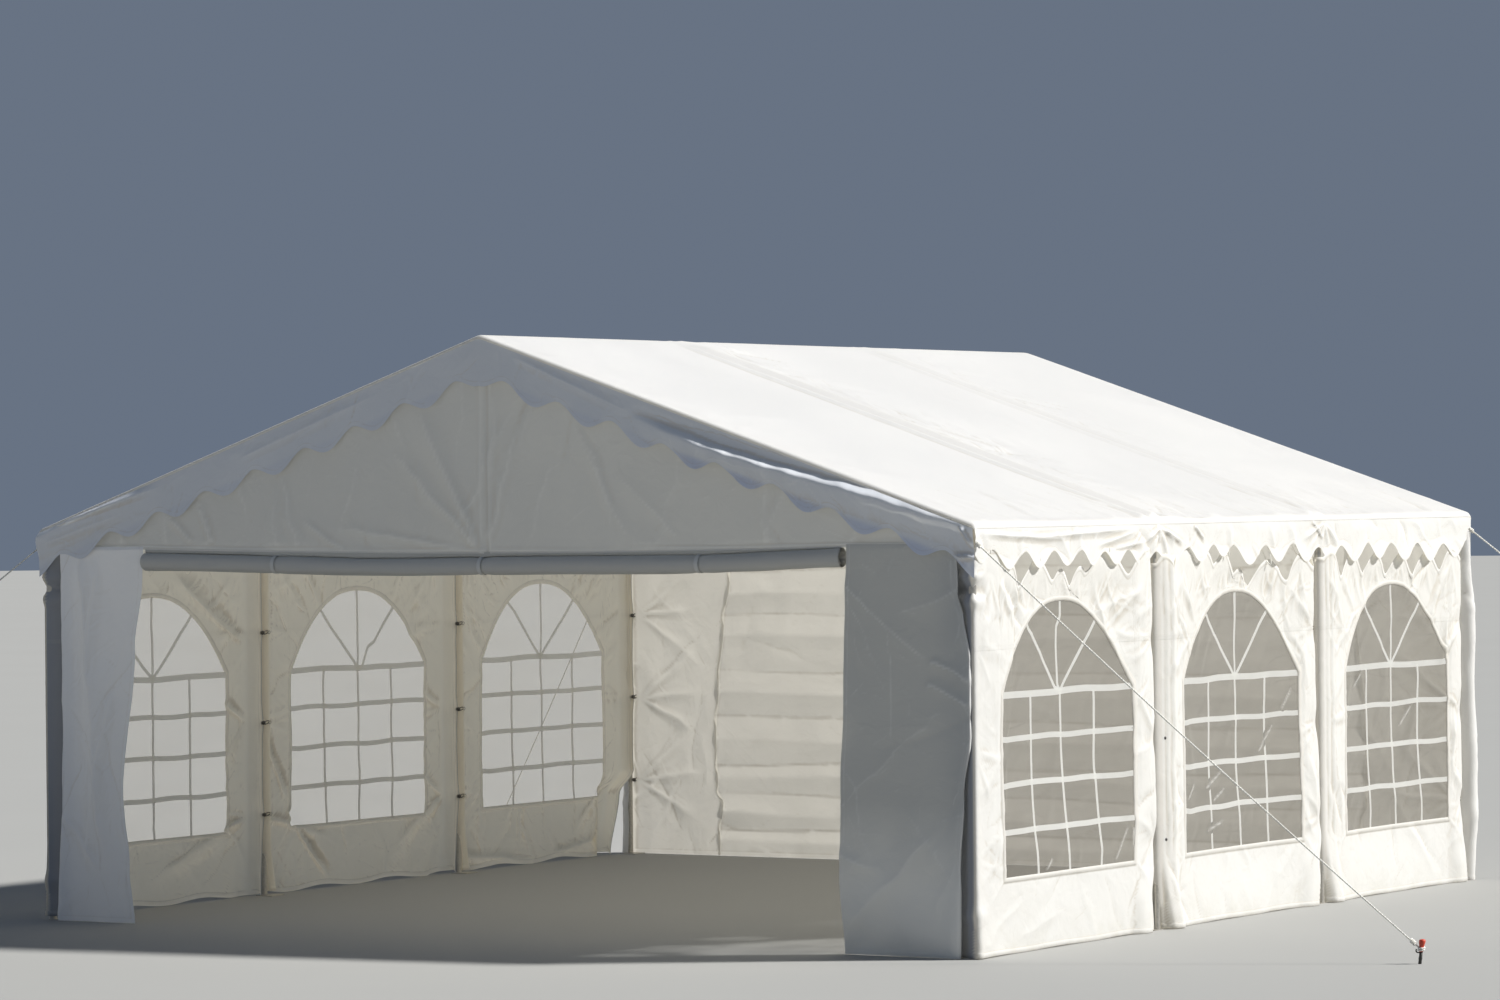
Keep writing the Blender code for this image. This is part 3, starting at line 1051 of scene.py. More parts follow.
def spaced(stops: Sequence[tuple[float, float]]) -> Array:
    """Places from the first stop on, closer in some stretches than in others.

    Args:
        stops: where each stretch ends and about how far apart its places are.

    Returns:
        The places.
    """
    places = [np.array([stops[0][0]])]
    for (start, _), (end, step) in zip(stops, stops[1:]):
        count = max(1, round(abs(end - start) / step))
        places.append(np.linspace(start, end, count + 1)[1:])
    return np.concatenate(places)


def steps_to(start: float, end: float, count: int) -> Array:
    """Even steps from a start that stop one short of the end."""
    return np.linspace(start, end, count, endpoint=False)


def hem(distance: Array, width: float = 0.022, height: float = 0.0009) -> Array:
    """How proud a folded hem is at a distance from a sheet's edge."""
    return height * fade(width, width + 0.003, distance)


@dataclass
class RoofCover:
    """The one sheet over both slopes, tight over the frames and slack between them."""

    sag: float = 0.02
    corner: float = 0.022
    strength: tuple[float, ...] = (1.0, 0.55)  # of the creases over the two frames in the middle
    ridge: float = 0.012  # how rounded the ridge is
    flat: Point = (6.36, 6.03)  # the sheet's own width and length

    def _bent(self, places: Array) -> tuple[Array, Array]:
        """Where flat distances come to lie across the tent, and their drop round the edge.

        Args:
            places: flat distances from the middle.

        Returns:
            Distances and drops.
        """
        straight = HALF - self.corner
        over = np.maximum(0.0, np.abs(places) - straight) / self.corner
        level = np.minimum(np.abs(places), straight) + self.corner * np.sin(over)
        return np.sign(places) * level, self.corner * (1.0 - np.cos(over))

    def _slack(self, across: Array, along: Array) -> Array:
        """How far the cover stands above the straight slope.

        Args:
            across: places across the tent.
            along: places along it.

        Returns:
            The heights, which are negative.
        """
        total = np.zeros(across.shape)
        for start, end in zip(FRAMES, FRAMES[1:]):
            inside = np.clip((along - start) / (end - start), 0.0, 1.0)
            total -= self.sag * np.sin(math.pi * inside)
        span = np.clip(np.abs(across) / LEG, 0.0, 1.0)
        return total * np.sin(math.pi * span) ** 0.6

    def _creases(self, across: Array, along: Array) -> Array:
        """Folds along the frames, crumples beside them, and pulls from the eaves.

        Args:
            across: places across the tent.
            along: places along it.

        Returns:
            Their heights.
        """
        noise = Lattice(11)
        total = 0.003 * noise.cloudy(across, along, 0.9)
        total += 0.003 * noise.crinkled(across, along, 0.55, 20.0, 70.0)
        ruck = noise.crinkled(across, along + 50.0, 0.30, 25.0, 55.0)
        ruck += 0.6 * noise.crinkled(across + 30.0, along + 50.0, 0.15, 10.0, 70.0)
        for index, (place, share) in enumerate(zip(FRAMES[1:-1], self.strength)):
            off = along - place - 0.014 * noise.at(across * 1.7, 3.7 * index)
            crest = 0.024 * np.maximum(0.0, 1.0 - np.abs(off) / 0.075) ** 1.1
            second = 0.016 * np.maximum(0.0, 1.0 - np.abs(off + 0.115) / 0.05) ** 1.1
            band = ease(0.02, 0.10, off) * fade(0.35, 0.9, off)
            rough = 0.026 * band * ruck * (0.55 + 0.45 * noise.at(across * 1.3 + 5.0, along))
            total += share * (crest + second + rough)
        near_eave = ease(2.2, 2.8, np.abs(across)) * fade(2.93, 2.98, np.abs(across))
        total += 0.012 * near_eave * noise.crinkled(across + 9.0, along, 0.26, 0.0, 30.0)
        near_gable = ease(2.5, 2.88, np.abs(along)) * fade(2.93, 2.98, np.abs(along))
        total += 0.005 * near_gable * noise.crinkled(across + 3.0, along + 20.0, 0.3, 80.0, 40.0)
        return total * (0.15 + 0.85 * ease(0.02, 0.22, np.abs(across)))

    def build(self) -> None:
        """Makes the cover."""
        turn = self.corner * math.pi / 2
        straight = HALF - self.corner
        edge = straight + turn
        rim = [(straight, 0.014), (edge, turn / 6)]
        right = spaced([(0.0, 1.0), (0.05, 0.016), (straight - 0.1, 0.026), *rim])
        stops = [(-edge, 1.0), (-straight, turn / 6), (-straight + 0.1, 0.014), (-1.3, 0.028), (-0.6, 0.0135)]
        stops += [(0.8, 0.028), (1.5, 0.018), (straight - 0.1, 0.028), *rim]
        grid_a, grid_b = np.meshgrid(np.concatenate([-right[:0:-1], right]), spaced(stops), indexing="ij")
        x, drop_x = self._bent(grid_a)
        y, drop_y = self._bent(grid_b)
        height = PEAK - SLOPE * (np.sqrt(x * x + self.ridge * self.ridge) - self.ridge * 0.6)
        lift = self._slack(grid_a, grid_b) + self._creases(grid_a, grid_b)
        for grid in (grid_a, grid_b):
            lift *= fade(straight - 0.02, straight + 0.01, np.abs(grid))
        z = np.minimum(height, PEAK - 0.0005) - drop_x - drop_y + lift / math.cos(PITCH)
        flat = stacked(grid_a / math.cos(PITCH), grid_b)
        mesh = loft("roof_cover", stacked(x, y, z), flat, Vector((0, 0, 1)))
        nodes = ("roof_slope_left", "roof_slope_right")
        piece = add_piece("roof_cover", mesh, COVER_CLOTH, nodes)


@dataclass
class Valance:
    """A scalloped skirt that hangs from an edge of the cover."""

    name: str
    face: Face
    gable: bool
    seed: int
    notch: float = 0.155
    lobe: float = 0.095
    notches: tuple[Point, ...] = ()
    folds: list[Fold] = field(default_factory=list)
    ledge: tuple[tuple[float, float, float], ...] = ()  # places, drops and reaches of a sunlit bulge
    tuck: float = 0.02  # how far the skirt reaches under the cover
    depth: float = 0.27  # of the cut sheet

    def __post_init__(self) -> None:
        """Draws even notches where none are given."""
        if not self.notches:
            rng = np.random.default_rng(self.seed)
            places = (np.arange(-10, 11) + (0.5 if self.gable else 0.0)) * LOBE
            places = places + rng.uniform(-0.012, 0.012, 21)
            drops = self.notch + rng.uniform(-0.008, 0.008, 21)
            self.notches = tuple(zip(places.tolist(), drops.tolist()))

    def _notched(self, along: Array) -> Array:
        """How far below the cover's edge the line from notch to notch is."""
        return np.interp(along, *columns(self.notches))

    def _lower(self, along: Array) -> Array:
        """How far below the cover's edge the scalloped edge is.

        Args:
            along: places along the skirt.

        Returns:
            The drops.
        """
        share, span = among(along, columns(self.notches)[0])
        bow = 0.15 * np.abs(np.sin(math.pi * share)) + 0.85 * (0.5 - 0.5 * np.cos(2 * math.pi * share))
        return self._notched(along) + self.lobe * bow * np.clip(span / LOBE, 0.35, 1.15)

    def _lift(self, along: Array, down: Array) -> Array:
        """How the skirt stands off from the wall: lobes curl, and the top rolls over the tube.

        Args:
            along: places along the skirt.
            down: drops below the cover's edge.

        Returns:
            The distances outwards.
        """
        noise = Lattice(self.seed)
        total = 0.005 * noise.cloudy(along, down, 0.45) * ease(0.0, 0.08, down)
        rough = 0.003 if self.gable else 0.008
        total += rough * noise.crinkled(along, down, 0.22, 90.0, 80.0) * ease(0.01, 0.07, down)
        curl = np.sin(math.pi * (along / LOBE + 0.3 * noise.at(along * 1.3, 0.0)))
        total += 0.006 * curl * ease(0.08, 0.26, down)
        for fold in self.folds:
            total += fold.lift(along, down)
        if not self.gable:
            total -= 0.012 * ease(0.02, 0.22, down)
        if self.ledge:
            places, drops, reaches = columns(self.ledge)
            past = down - np.interp(along, places, drops) - 0.006 * noise.at(along * 6.0, 0.0)
            reach = np.interp(along, places, reaches) * (1.0 + 0.2 * noise.at(along * 9.0 + 5.0, 0.0))
            total += reach * ease(-0.042, 0.006, past) * (1.0 - 0.85 * ease(0.01, 0.13, past))
            total += 0.02 * reach * noise.crinkled(along + 7.0, down, 0.07, 0.0, 90.0)
            total -= 0.006 * reach / 0.04 * bell(past + 0.055, 0.02)
        return total

    def build(self) -> None:
        """Makes the skirt."""
        reach = SKIRT - (0.0035 if self.gable else 0.0)
        along = spaced([(-reach, 1.0), (reach, 0.0125)])
        shares = np.concatenate([np.linspace(0.0, 0.9, 27), [0.925, 0.928, 0.965, 0.997, 1.0]])
        edge = self._lower(along)
        grid_a = np.repeat(along[None, :], len(shares), axis=0)
        down = self.tuck + shares[:, None] * (edge[None, :] - self.tuck)
        lift = self._lift(grid_a, down) + hem(edge[None, :] - down, 0.018, 0.0006)
        out = np.maximum(SKIRT - 0.0003 + lift, WALL + (0.0145 if self.gable else 0.0070))
        top = roof_line(grid_a) if self.gable else EAVE
        rows = self.face.world(grid_a, out, top - down)
        slant = grid_a / (math.cos(PITCH) if self.gable else 1.0)
        # painted glow: a warm tint along the scalloped hem
        trim_and_painted_light = 0.6 * (edge[None, :] - down < 0.005)
        if self.gable:
            tip = down - self._notched(along)[None, :]
            # painted shade: the lower parts of a gable valance's lobes are tinted blue, fully over most of
            # one half and a little at the other end
            tint = np.clip(0.75 + 0.7 * Lattice(self.seed + 1).at(along * 2.2, 0.0), 0.25, 1.0)
            tint = tint * ease(0.14, 0.24, along) + 0.25 * ease(0.2, 0.3, -along)
            trim_and_painted_light = np.maximum(trim_and_painted_light * 0.5, ease(0.0, 0.035, tip) * tint[None, :])
        mesh = loft(self.name, rows, stacked(slant, -down), self.face.outward, trim_and_painted_light=trim_and_painted_light)
        finish = SHADED_SKIRT_CLOTH if self.gable else EAVE_CLOTH
        piece = add_piece(self.name + "_skirt", mesh, finish, [self.name])
        size = (2 * reach, self.depth)
        area = min(float(np.trapz(edge - self.tuck, along)), size[0] * size[1])


@dataclass
class SideWall:
    """One wall panel of a side, with its window: it laps round the leg in front of it."""

    COUNTS = (104, 92, 190)  # points along the bottom, up each edge and along the top
    BARS_ACROSS = ((WINDOW_SPRING, 0.034), (1.087, 0.029), (0.85, 0.029), (0.615, 0.029))  # heights, widths
    BARS_UP = (-0.343, 0.0, 0.343)
    SPOKES = (-0.372, 0.0, 0.372)
    THIN_BAR = 0.021
    FILM_LAP = 0.006  # how far the film reaches under the cloth round it
    FILM_BEHIND = 0.0012

    face: Face
    bay: int
    seed: int
    valleys: tuple[Point, ...] = ()
    folds: list[Fold] = field(default_factory=list)
    bow: float = 0.0  # how far the middle of the panel hangs outwards
    low_bow: float = 0.5  # the share of that at the sill
    corner_drift: tuple[Point, ...] = ((0.0, 0.0), (2.0, 0.0))  # heights, and shifts of the rear corner
    loose: bool = False  # whether the rear edge itself goes along with that
    column: float = 0.014  # how proud the cloth stands beside the front leg
    bent_spokes: tuple[tuple[Point, ...], ...] = ()
    streaks: tuple[tuple[float, float, float, float], ...] = ()  # creases in the film, with painted highlights along them
    arch_share: float = 0.92  # how much of its rectangle an arched film covers
    tongue: float = 0.125  # height of the tongues over their valleys

    def __post_init__(self) -> None:
        """Lays out the panel's line, valleys and creases."""
        self.front = BAY * self.bay - HALF
        self.middle = self.front + BAY / 2
        self.path = PlanPath(self._plan(), self.middle)
        if not self.valleys:
            rng = np.random.default_rng(self.seed)
            spots = self.front + LOBE * np.arange(0, 7)
            spots = spots + rng.uniform(-0.02, 0.02, 7)
            lows = [1.94 + rng.uniform(-0.015, 0.02) for _ in spots]
            lows[0], lows[-1] = (2.04 if self.bay == 0 else 1.96), 1.96
            self.valleys = tuple((float(spot), float(low)) for spot, low in zip(spots, lows))
        facet = 0.015 if self.face is Face.RIGHT else 0.013
        self.creases = Creases(self.seed, swell=0.009, crumple=0.0028, facet=facet, facet_size=0.29)

    def _plan(self) -> list[Point]:
        """The panel's line on the plan, from its front edge to its rear edge.

        Returns:
            Places along and out.
        """
        post, rear = self.front, self.front + BAY
        if self.bay == 0:
            points = [(-2.900, 2.800), (-2.906, 2.835), (-2.915, 2.862), (-2.932, 2.885), (-2.955, 2.910)]
            points += [(-2.975, 2.937), (-2.9815, 2.962), (-2.9740, 2.9785), (-2.955, 2.9812)]
        else:
            points = [(post + 0.072, WALL - 0.018), (post + 0.052, WALL - 0.034), (post + 0.028, LEG - 0.030)]
            points += [(post + 0.004, LEG - 0.0285), (post - 0.019, LEG - 0.019), (post - LEG_WRAP, LEG)]
            points += [(post - 0.022, LEG + 0.014), (post - 0.006, WALL + 0.001)]
            crest = ((0.03, 0.32), (0.07, 0.70), (0.105, 0.98), (0.125, 1.0))
            crest += ((0.16, 0.62), (0.21, 0.16), (0.243, 0.02))
            points += [(post + reach, WALL + self.column * share) for reach, share in crest]
        points += [(post + 0.285, WALL), (self.middle, WALL), (rear - 0.36, WALL + 0.001)]
        points += [(rear - 0.180, WALL + 0.005), (rear - 0.118, WALL + 0.001), (rear - 0.098, WALL - 0.016)]
        points += [(rear - 0.078, WALL - 0.038), (rear - 0.060, WALL - 0.052), (rear - 0.042, WALL - 0.057)]
        return points

    def _pulls(self) -> list[Fold]:
        """The folds that fan out from the ties, hang from the tongues and stand over the window.

        Returns:
            The folds.
        """
        made: list[Fold] = []
        rng = np.random.default_rng(self.seed + 100)
        front, rear = self.front + 0.03, self.front + BAY - 0.12
        for height in TIE_HEIGHTS:
            made += fan((front, height), rng.uniform(-60, 60, 2), 0.34, 0.006, int(rng.integers(1000)))
            made += fan((rear, height), 180 + rng.uniform(-55, 55, 2), 0.38, 0.008, int(rng.integers(1000)))
        spots = [place for place, _ in self.valleys]
        for place in [(a + b) / 2 for a, b in zip(spots, spots[1:])]:
            angles = (-68 + rng.uniform(-14, 14), -110 + rng.uniform(-14, 14))
            made += fan((place, 1.92), angles, 0.34, 0.007, int(rng.integers(1000)))
        rays = ((0.38, 1.74, 0.30, 62), (0.49, 1.62, 0.42, 44), (0.61, 1.49, 0.36, 24))
        for side in (-1.0, 1.0):
            for offset, up, reach, turn in rays:
                turn = math.radians(turn + rng.uniform(-8, 8))
                reach *= rng.uniform(0.8, 1.2)
                start = (self.middle + side * offset, up)
                end = (start[0] + side * reach * math.cos(turn), up + reach * math.sin(turn))
                height = rng.uniform(0.009, 0.016) * (0.45 if offset > 0.55 else 1.0)
                made.append(Fold(start, end, 0.03, height, 0.12, 0.4))
            start = (self.middle + side * 0.70, 0.40)
            made.append(Fold(start, (start[0] + side * 0.2, 0.2), 0.02, 0.006, 0.15))
        return made

    def _top(self, u: Array) -> Array:
        """Height of the panel's upper edge: sharp valleys between rounded tongues.

        Args:
            u: places along the panel.

        Returns:
            The heights.
        """
        places, lows = columns(self.valleys)
        share, span = among(u, places)
        part = share - np.floor(share)
        near = np.sqrt((1.0 - np.abs(2.0 * part - 1.0)) ** 2 + 0.012) - 0.11
        bow = (1.0 - (1.0 - near / 0.896) ** 1.7) * np.clip(span / LOBE, 0.5, 1.1)
        return np.minimum(np.interp(u, places, lows) + self.tongue * bow, 2.06)

    def tongues(self) -> list[Point]:
        """Where each tongue of the upper edge is, and how high it reaches."""
        spots = [(a + b) / 2 for (a, _), (b, _) in zip(self.valleys, self.valleys[1:]) if b - a > 0.24]
        return [(spot, float(self._top(np.array(spot)))) for spot in spots]

    def arch(self, offset: Array | float) -> Array | float:
        """Height of the window's top edge at a distance from its middle."""
        return WINDOW_SPRING + WINDOW_RISE * (1.0 - np.abs(offset / WINDOW_HALF) ** ARCH_POWER)

    def _around(self, inset: float) -> Array:
        """The panel's outline, drawn in by an inset.

        Args:
            inset: how far it is drawn in.

        Returns:
            Places and heights.
        """
        low, high = self.path.start + inset, self.path.end - inset
        bottom, side, top = self.COUNTS
        floor = 0.002 + inset
        first, last = (float(self._top(np.array(place))) - inset for place in (low, high))
        swing = 0.004 if self.face is Face.RIGHT else 0.022
        below, above = steps_to(low, high, bottom), steps_to(high, low, top)
        lower = stacked(below, floor + swing * np.sin(below * 4.5 + self.seed) ** 2)
        rear, front = stacked(high, steps_to(floor, last, side)), stacked(low, steps_to(first, floor, side))
        return np.vstack([lower, rear, stacked(above, self._top(above) - inset), front])

    def _window(self, outset: float) -> Array:
        """The window's outline, grown by an outset.

        Args:
            outset: how far it is grown.

        Returns:
            Places and heights.
        """
        bottom, side, top = self.COUNTS
        left, right = -WINDOW_HALF - outset, WINDOW_HALF + outset
        sill = WINDOW_SILL - outset
        spring = WINDOW_SPRING + 0.4 * outset
        rise = WINDOW_RISE + 0.6 * outset
        lower = stacked(steps_to(left, right, bottom), sill)
        rear = stacked(right, steps_to(sill, spring, side))
        front = stacked(left, steps_to(spring, sill, side))
        turn = steps_to(0.0, math.pi, top)
        part = np.sign(np.cos(turn)) * np.abs(np.cos(turn)) ** 0.8
        upper = stacked(part * right, spring + rise * (1.0 - np.abs(part) ** ARCH_POWER))
        return np.vstack([lower, rear, upper, front]) + [self.middle, 0.0]

    def _edges(self, u: Array, up: Array) -> Array:
        """The rear edge bulges between the ties, and both lower corners flare where they meet the ground.

        Args:
            u: places along the panel.
            up: heights on it.

        Returns:
            The distances outwards.
        """
        rear = self.front + BAY
        near = ease(rear - 0.34, rear - 0.17, u)
        bulge = np.zeros(up.shape)
        for height in TIE_HEIGHTS:
            bulge -= 0.010 * bell(up - height, 0.07)
        flare = 0.030 * fade(0.0, 0.42, up)
        corner = np.maximum(0.0, 1.0 - up / 0.42 - np.maximum(0.0, u - self.front - 0.02) / 0.36)
        turned = ease(self.front - 0.01, self.front + 0.03, u)
        place = u - self.front
        if self.bay == 0:
            rag = 0.022 * bell(up - 1.94, 0.045) - 0.016 * bell(up - 1.85, 0.03)
            rag = rag + 0.012 * bell(up - 1.79, 0.03) + 0.010 * bell(up - 0.22, 0.04)
            rag = rag * fade(0.03, 0.16, place)
            return near * (bulge + flare + 0.004) + 0.016 * corner * turned + rag
        pleats = 0.0020 * np.cos(place * 118.0 + 1.5 * Lattice(self.seed + 3).at(up * 2.2, place * 9.0))
        pleats = pleats * ease(0.02, 0.05, place) * fade(0.12, 0.18, place) * ease(0.3, 0.5, up)
        return near * (bulge + flare + 0.004) + 0.035 * corner * turned + pleats

    def _bowed(self, u: Array, up: Array) -> Array:
        """How far the whole panel hangs out of its plane between the legs.

        Args:
            u: places along the panel.
            up: heights on it.

        Returns:
            The distances outwards.
        """
        across = np.clip(1.0 - np.abs((u - self.middle) / 0.74) ** 2.2, 0.0, 1.0) ** 0.9
        shares = ((0.0, 0.0), (WINDOW_SILL, self.low_bow), (1.0, 1.0), (1.75, 0.9), (2.0, 0.4))
        return self.bow * across * smooth_between(up, shares)

    def lift(self, u: Array, up: Array) -> Array:
        """How far the panel stands out from its line.

        Args:
            u: places along the panel.
            up: heights on it.

        Returns:
            The distances outwards.
        """
        start, end = self.path.start, self.path.end
        first = self.front + 0.02 - start
        calm = 0.92 * ease(start + first, start + first + 0.12, u) * fade(end - 0.2, end - 0.05, u) + 0.08
        foot = 0.35 if self.face is Face.RIGHT else 0.75
        low = (foot + (1.0 - foot) * ease(0.18, 0.5, up)) * (1.0 - 0.75 * ease(1.80, 1.93, up))
        offset = np.minimum(np.abs(u - self.middle), WINDOW_HALF)
        beside = np.minimum(WINDOW_HALF + 0.08 - np.abs(u - self.middle), self.arch(offset) + 0.08 - up)
        low = low * (1.0 - 0.5 * ease(0.0, 0.08, np.minimum(beside, up - WINDOW_SILL + 0.08)))
        room = 0.004 + 0.08 * ease(0.0, 0.12, 1.95 - up)
        return np.minimum(self.creases(u, up) * calm * low + self._edges(u, up), room) + self._bowed(u, up)

    def points(self, u: Array, up: Array, lift: Array) -> Array:
        """Places on the panel in the row frame.

        Args:
            u: places along the panel.
            up: heights on it.
            lift: distances outwards.

        Returns:
            The points.
        """
        noise = Lattice(self.seed + 5)
        sway = 0.006 * noise.cloudy(u, up, 0.33, 2)
        rear = self.front + BAY
        held = 0.0 if self.loose else 1.0
        corner = ease(rear - 0.42, rear - 0.17, u) * (1.0 - held * ease(rear - 0.10, rear - 0.01, u))
        drift = sway * ease(self.front + 0.05, self.front + 0.2, u)
        drift += corner * smooth_between(up, self.corner_drift)
        if self.bay:
            turned = fade(self.front + 0.04, self.front + 0.26, u)
            drift += 0.052 * turned * np.clip(1.0 - up / 0.34, 0.0, 1.0) ** 1.5
        return self.path.place(self.face, u, up, lift) + self.face.world(drift, 0.0 * drift, 0.0 * drift)

    def build(self) -> None:
        """Makes the panel, its film and the bars printed on the film."""
        self.creases.folds = [*self.folds, *self._pulls()]
        side = self.face.value
        number = self.bay + 1
        grown_by = (0.0, 0.0012, 0.012, 0.022, 0.0245)
        drawn_by = (0.0265, 0.0235, 0.001, 0.0)
        window = [self._window(outset) for outset in grown_by]
        edge = [self._around(inset) for inset in drawn_by]
        counts = (23, 20) if self.face is Face.RIGHT else (20, 17)
        share = [*np.linspace(0, 0.6, counts[0])[1:], *np.linspace(0.6, 1.0, counts[1])[1:-1]]
        flat = np.stack([*window, *(window[-1] * (1 - t) + edge[0] * t for t in share), *edge])
        welt, trim_and_painted_light = np.zeros(flat.shape[:2]), np.zeros(flat.shape[:2])
        welt[1:4] = 0.0030
        welt[-3:-1] = 0.0015
        trim_and_painted_light[0:4], trim_and_painted_light[-2:] = 0.85, 0.25
        u, up = flat[..., 0], flat[..., 1]
        # painted shadow: dark on the strip that wraps round the corner leg
        if self.bay == 0:
            trim_and_painted_light += 2.0 * fade(self.front + 0.002, self.front + 0.022, u)
        # painted shade: tan on the cloth wrapped round the front leg
        elif self.face is Face.RIGHT:
            trim_and_painted_light = np.maximum(trim_and_painted_light, 0.85 * (u < self.front + 0.008))
        # painted shadow: dark along the rear edge, in the slit at the leg
        if self.face is Face.LEFT:
            trim_and_painted_light += 1.5 * (u > self.path.end - 0.014)
        # painted shade: tan on the rear edge's return into the groove at the leg
        else:
            trim_and_painted_light = np.maximum(trim_and_painted_light, ease(self.path.end - 0.09, self.path.end - 0.06, u))
        rows = self.points(u, up, self.lift(u, up) + welt)
        name = f"side_panel_{side}_{number}"
        mesh = loft(name, rows, flat - [self.middle, 0.0], self.face.outward, closed=True, trim_and_painted_light=trim_and_painted_light)
        finish = WALL_CLOTH if self.face is Face.RIGHT else LIGHTENED_LEFT_CLOTH
        panel = add_piece(name + "_cloth", mesh, finish, [name])
        size = (self.path.end - self.path.start, PANEL_HEIGHT)
        self._build_film(side, number)

    @staticmethod
    def _area(loop: Array) -> float:
        """Area inside an outline."""
        after = np.roll(loop, -1, axis=0)
        return abs(float((loop[:, 0] * after[:, 1] - after[:, 0] * loop[:, 1]).sum() / 2))

    def _film_lift(self, u: Array, up: Array) -> Array:
        """The film follows the panel at its edge and has creases of its own inside it.

        Args:
            u: places along the panel.
            up: heights on it.

        Returns:
            The distances outwards.
        """
        offset = u - self.middle
        inside = fade(0.45, 0.68, np.abs(offset)) * ease(0.4, 0.62, up)
        inside = inside * fade(-0.2, 0.0, up - self.arch(offset))
        noise = Lattice(self.seed + 7)
        slant = noise.crinkled(offset, up, 0.34, 50.0, 20.0)
        smooth = self._edges(u, up) + self._bowed(u, up)
        own = smooth + 0.0045 * noise.cloudy(u, up, 0.5) + 0.004 * slant
        return self.lift(u, up) * (1.0 - inside) + own * inside

    def _build_film(self, side: str, number: int) -> None:
        """The clear film and its printed bars.

        Args:
            side: left or right.
            number: the bay's number.
        """
        fine = self.face is Face.RIGHT
        lap = self.FILM_LAP
        offset = np.linspace(-WINDOW_HALF - lap, WINDOW_HALF + lap, 104 if fine else 66)
        share = np.linspace(0.0, 1.0, 108 if fine else 72)
        grid_o, grid_s = np.meshgrid(offset, share)
        top = self.arch(np.clip(grid_o, -WINDOW_HALF, WINDOW_HALF)) + lap
        up = WINDOW_SILL - lap + grid_s * (top - WINDOW_SILL + lap)
        u = self.middle + grid_o
        # painted highlights along the streaks, for the film's shader; the ridge is their real fold
        painted_glints = np.zeros(up.shape)
        ridge = np.zeros(up.shape)
        for start_o, start_up, end_o, end_up in self.streaks:
            narrow = Fold((start_o, start_up), (end_o, end_up), 0.011, 1.0)
            painted_glints = np.maximum(painted_glints, narrow.lift(grid_o, up) ** 0.7)
            ridge += 0.006 * replace(narrow, width=0.05).lift(grid_o, up)
        rows = self.points(u, up, self._film_lift(u, up) + ridge - self.FILM_BEHIND)
        name = f"window_film_{side}_{number}"
        mesh = loft(name, rows, stacked(grid_o + 1.7 * self.bay, up), self.face.outward, trim_and_painted_light=painted_glints)
        finish = DARKENED_FILM if self.face is Face.RIGHT else FILM
        film = add_piece(name + "_clear", mesh, finish, [name])
        bars = add_piece(f"window_bars_{side}_{number}", self._bars(), PRINT)

    def _bars(self) -> bpy.types.Mesh:
        """The bars on the film: four across, three up, and three that fan out in the arch.

        Returns:
            All the bars as one mesh.
        """
        routes: list[tuple[tuple[Point, ...], float]] = []
        for height, width in self.BARS_ACROSS:
            routes.append((((-WINDOW_HALF, height), (WINDOW_HALF, height)), width))
        for offset in self.BARS_UP:
            routes.append((((offset, WINDOW_SILL), (offset, WINDOW_SPRING)), self.THIN_BAR))
        for index, offset in enumerate(self.SPOKES):
            bent = self.bent_spokes[index] if index < len(self.bent_spokes) else ()
            tip = (offset, float(self.arch(offset)) + 0.004)
            routes.append((((0.0, WINDOW_SPRING), *bent, tip), self.THIN_BAR))
        return joined("window_bars", [self._bar(index, *route) for index, route in enumerate(routes)])

    def _bar(self, index: int, route: tuple[Point, ...], width: float) -> bpy.types.Mesh:
        """One bar along a route on the film, a little unsteady.

        Args:
            index: the bar's number.
            route: the corners of its line.
            width: its width.

        Returns:
            The bar.
        """
        noise = Lattice(self.seed + 19)
        far = lengths(np.array(route))
        line = np.linspace(0.0, far[-1], max(14, round(far[-1] / 0.018)))
        offset, up = (np.interp(line, far, places) for places in columns(route))
        way = np.gradient(stacked(offset, up), line, axis=0)
        way /= np.linalg.norm(way, axis=1)[:, None]
        sway = 0.008 * noise.at(line * 3.1 + 13.0 * index, index)
        sway = sway * ease(0.0, 0.08, line) * ease(0.0, 0.08, far[-1] - line)
        across = sway[None, :] + (np.array([-0.5, 0.0, 0.5]) * width)[:, None]
        offset = offset[None, :] - across * way[:, 1]
        up = up[None, :] + across * way[:, 0]
        u = self.middle + offset
        raised = 0.0009 + 0.00015 * (index % 3)
        rows = self.points(u, up, self._film_lift(u, up) - self.FILM_BEHIND + raised)
        return loft(f"bar_{index}", rows, stacked(offset, up), self.face.outward)


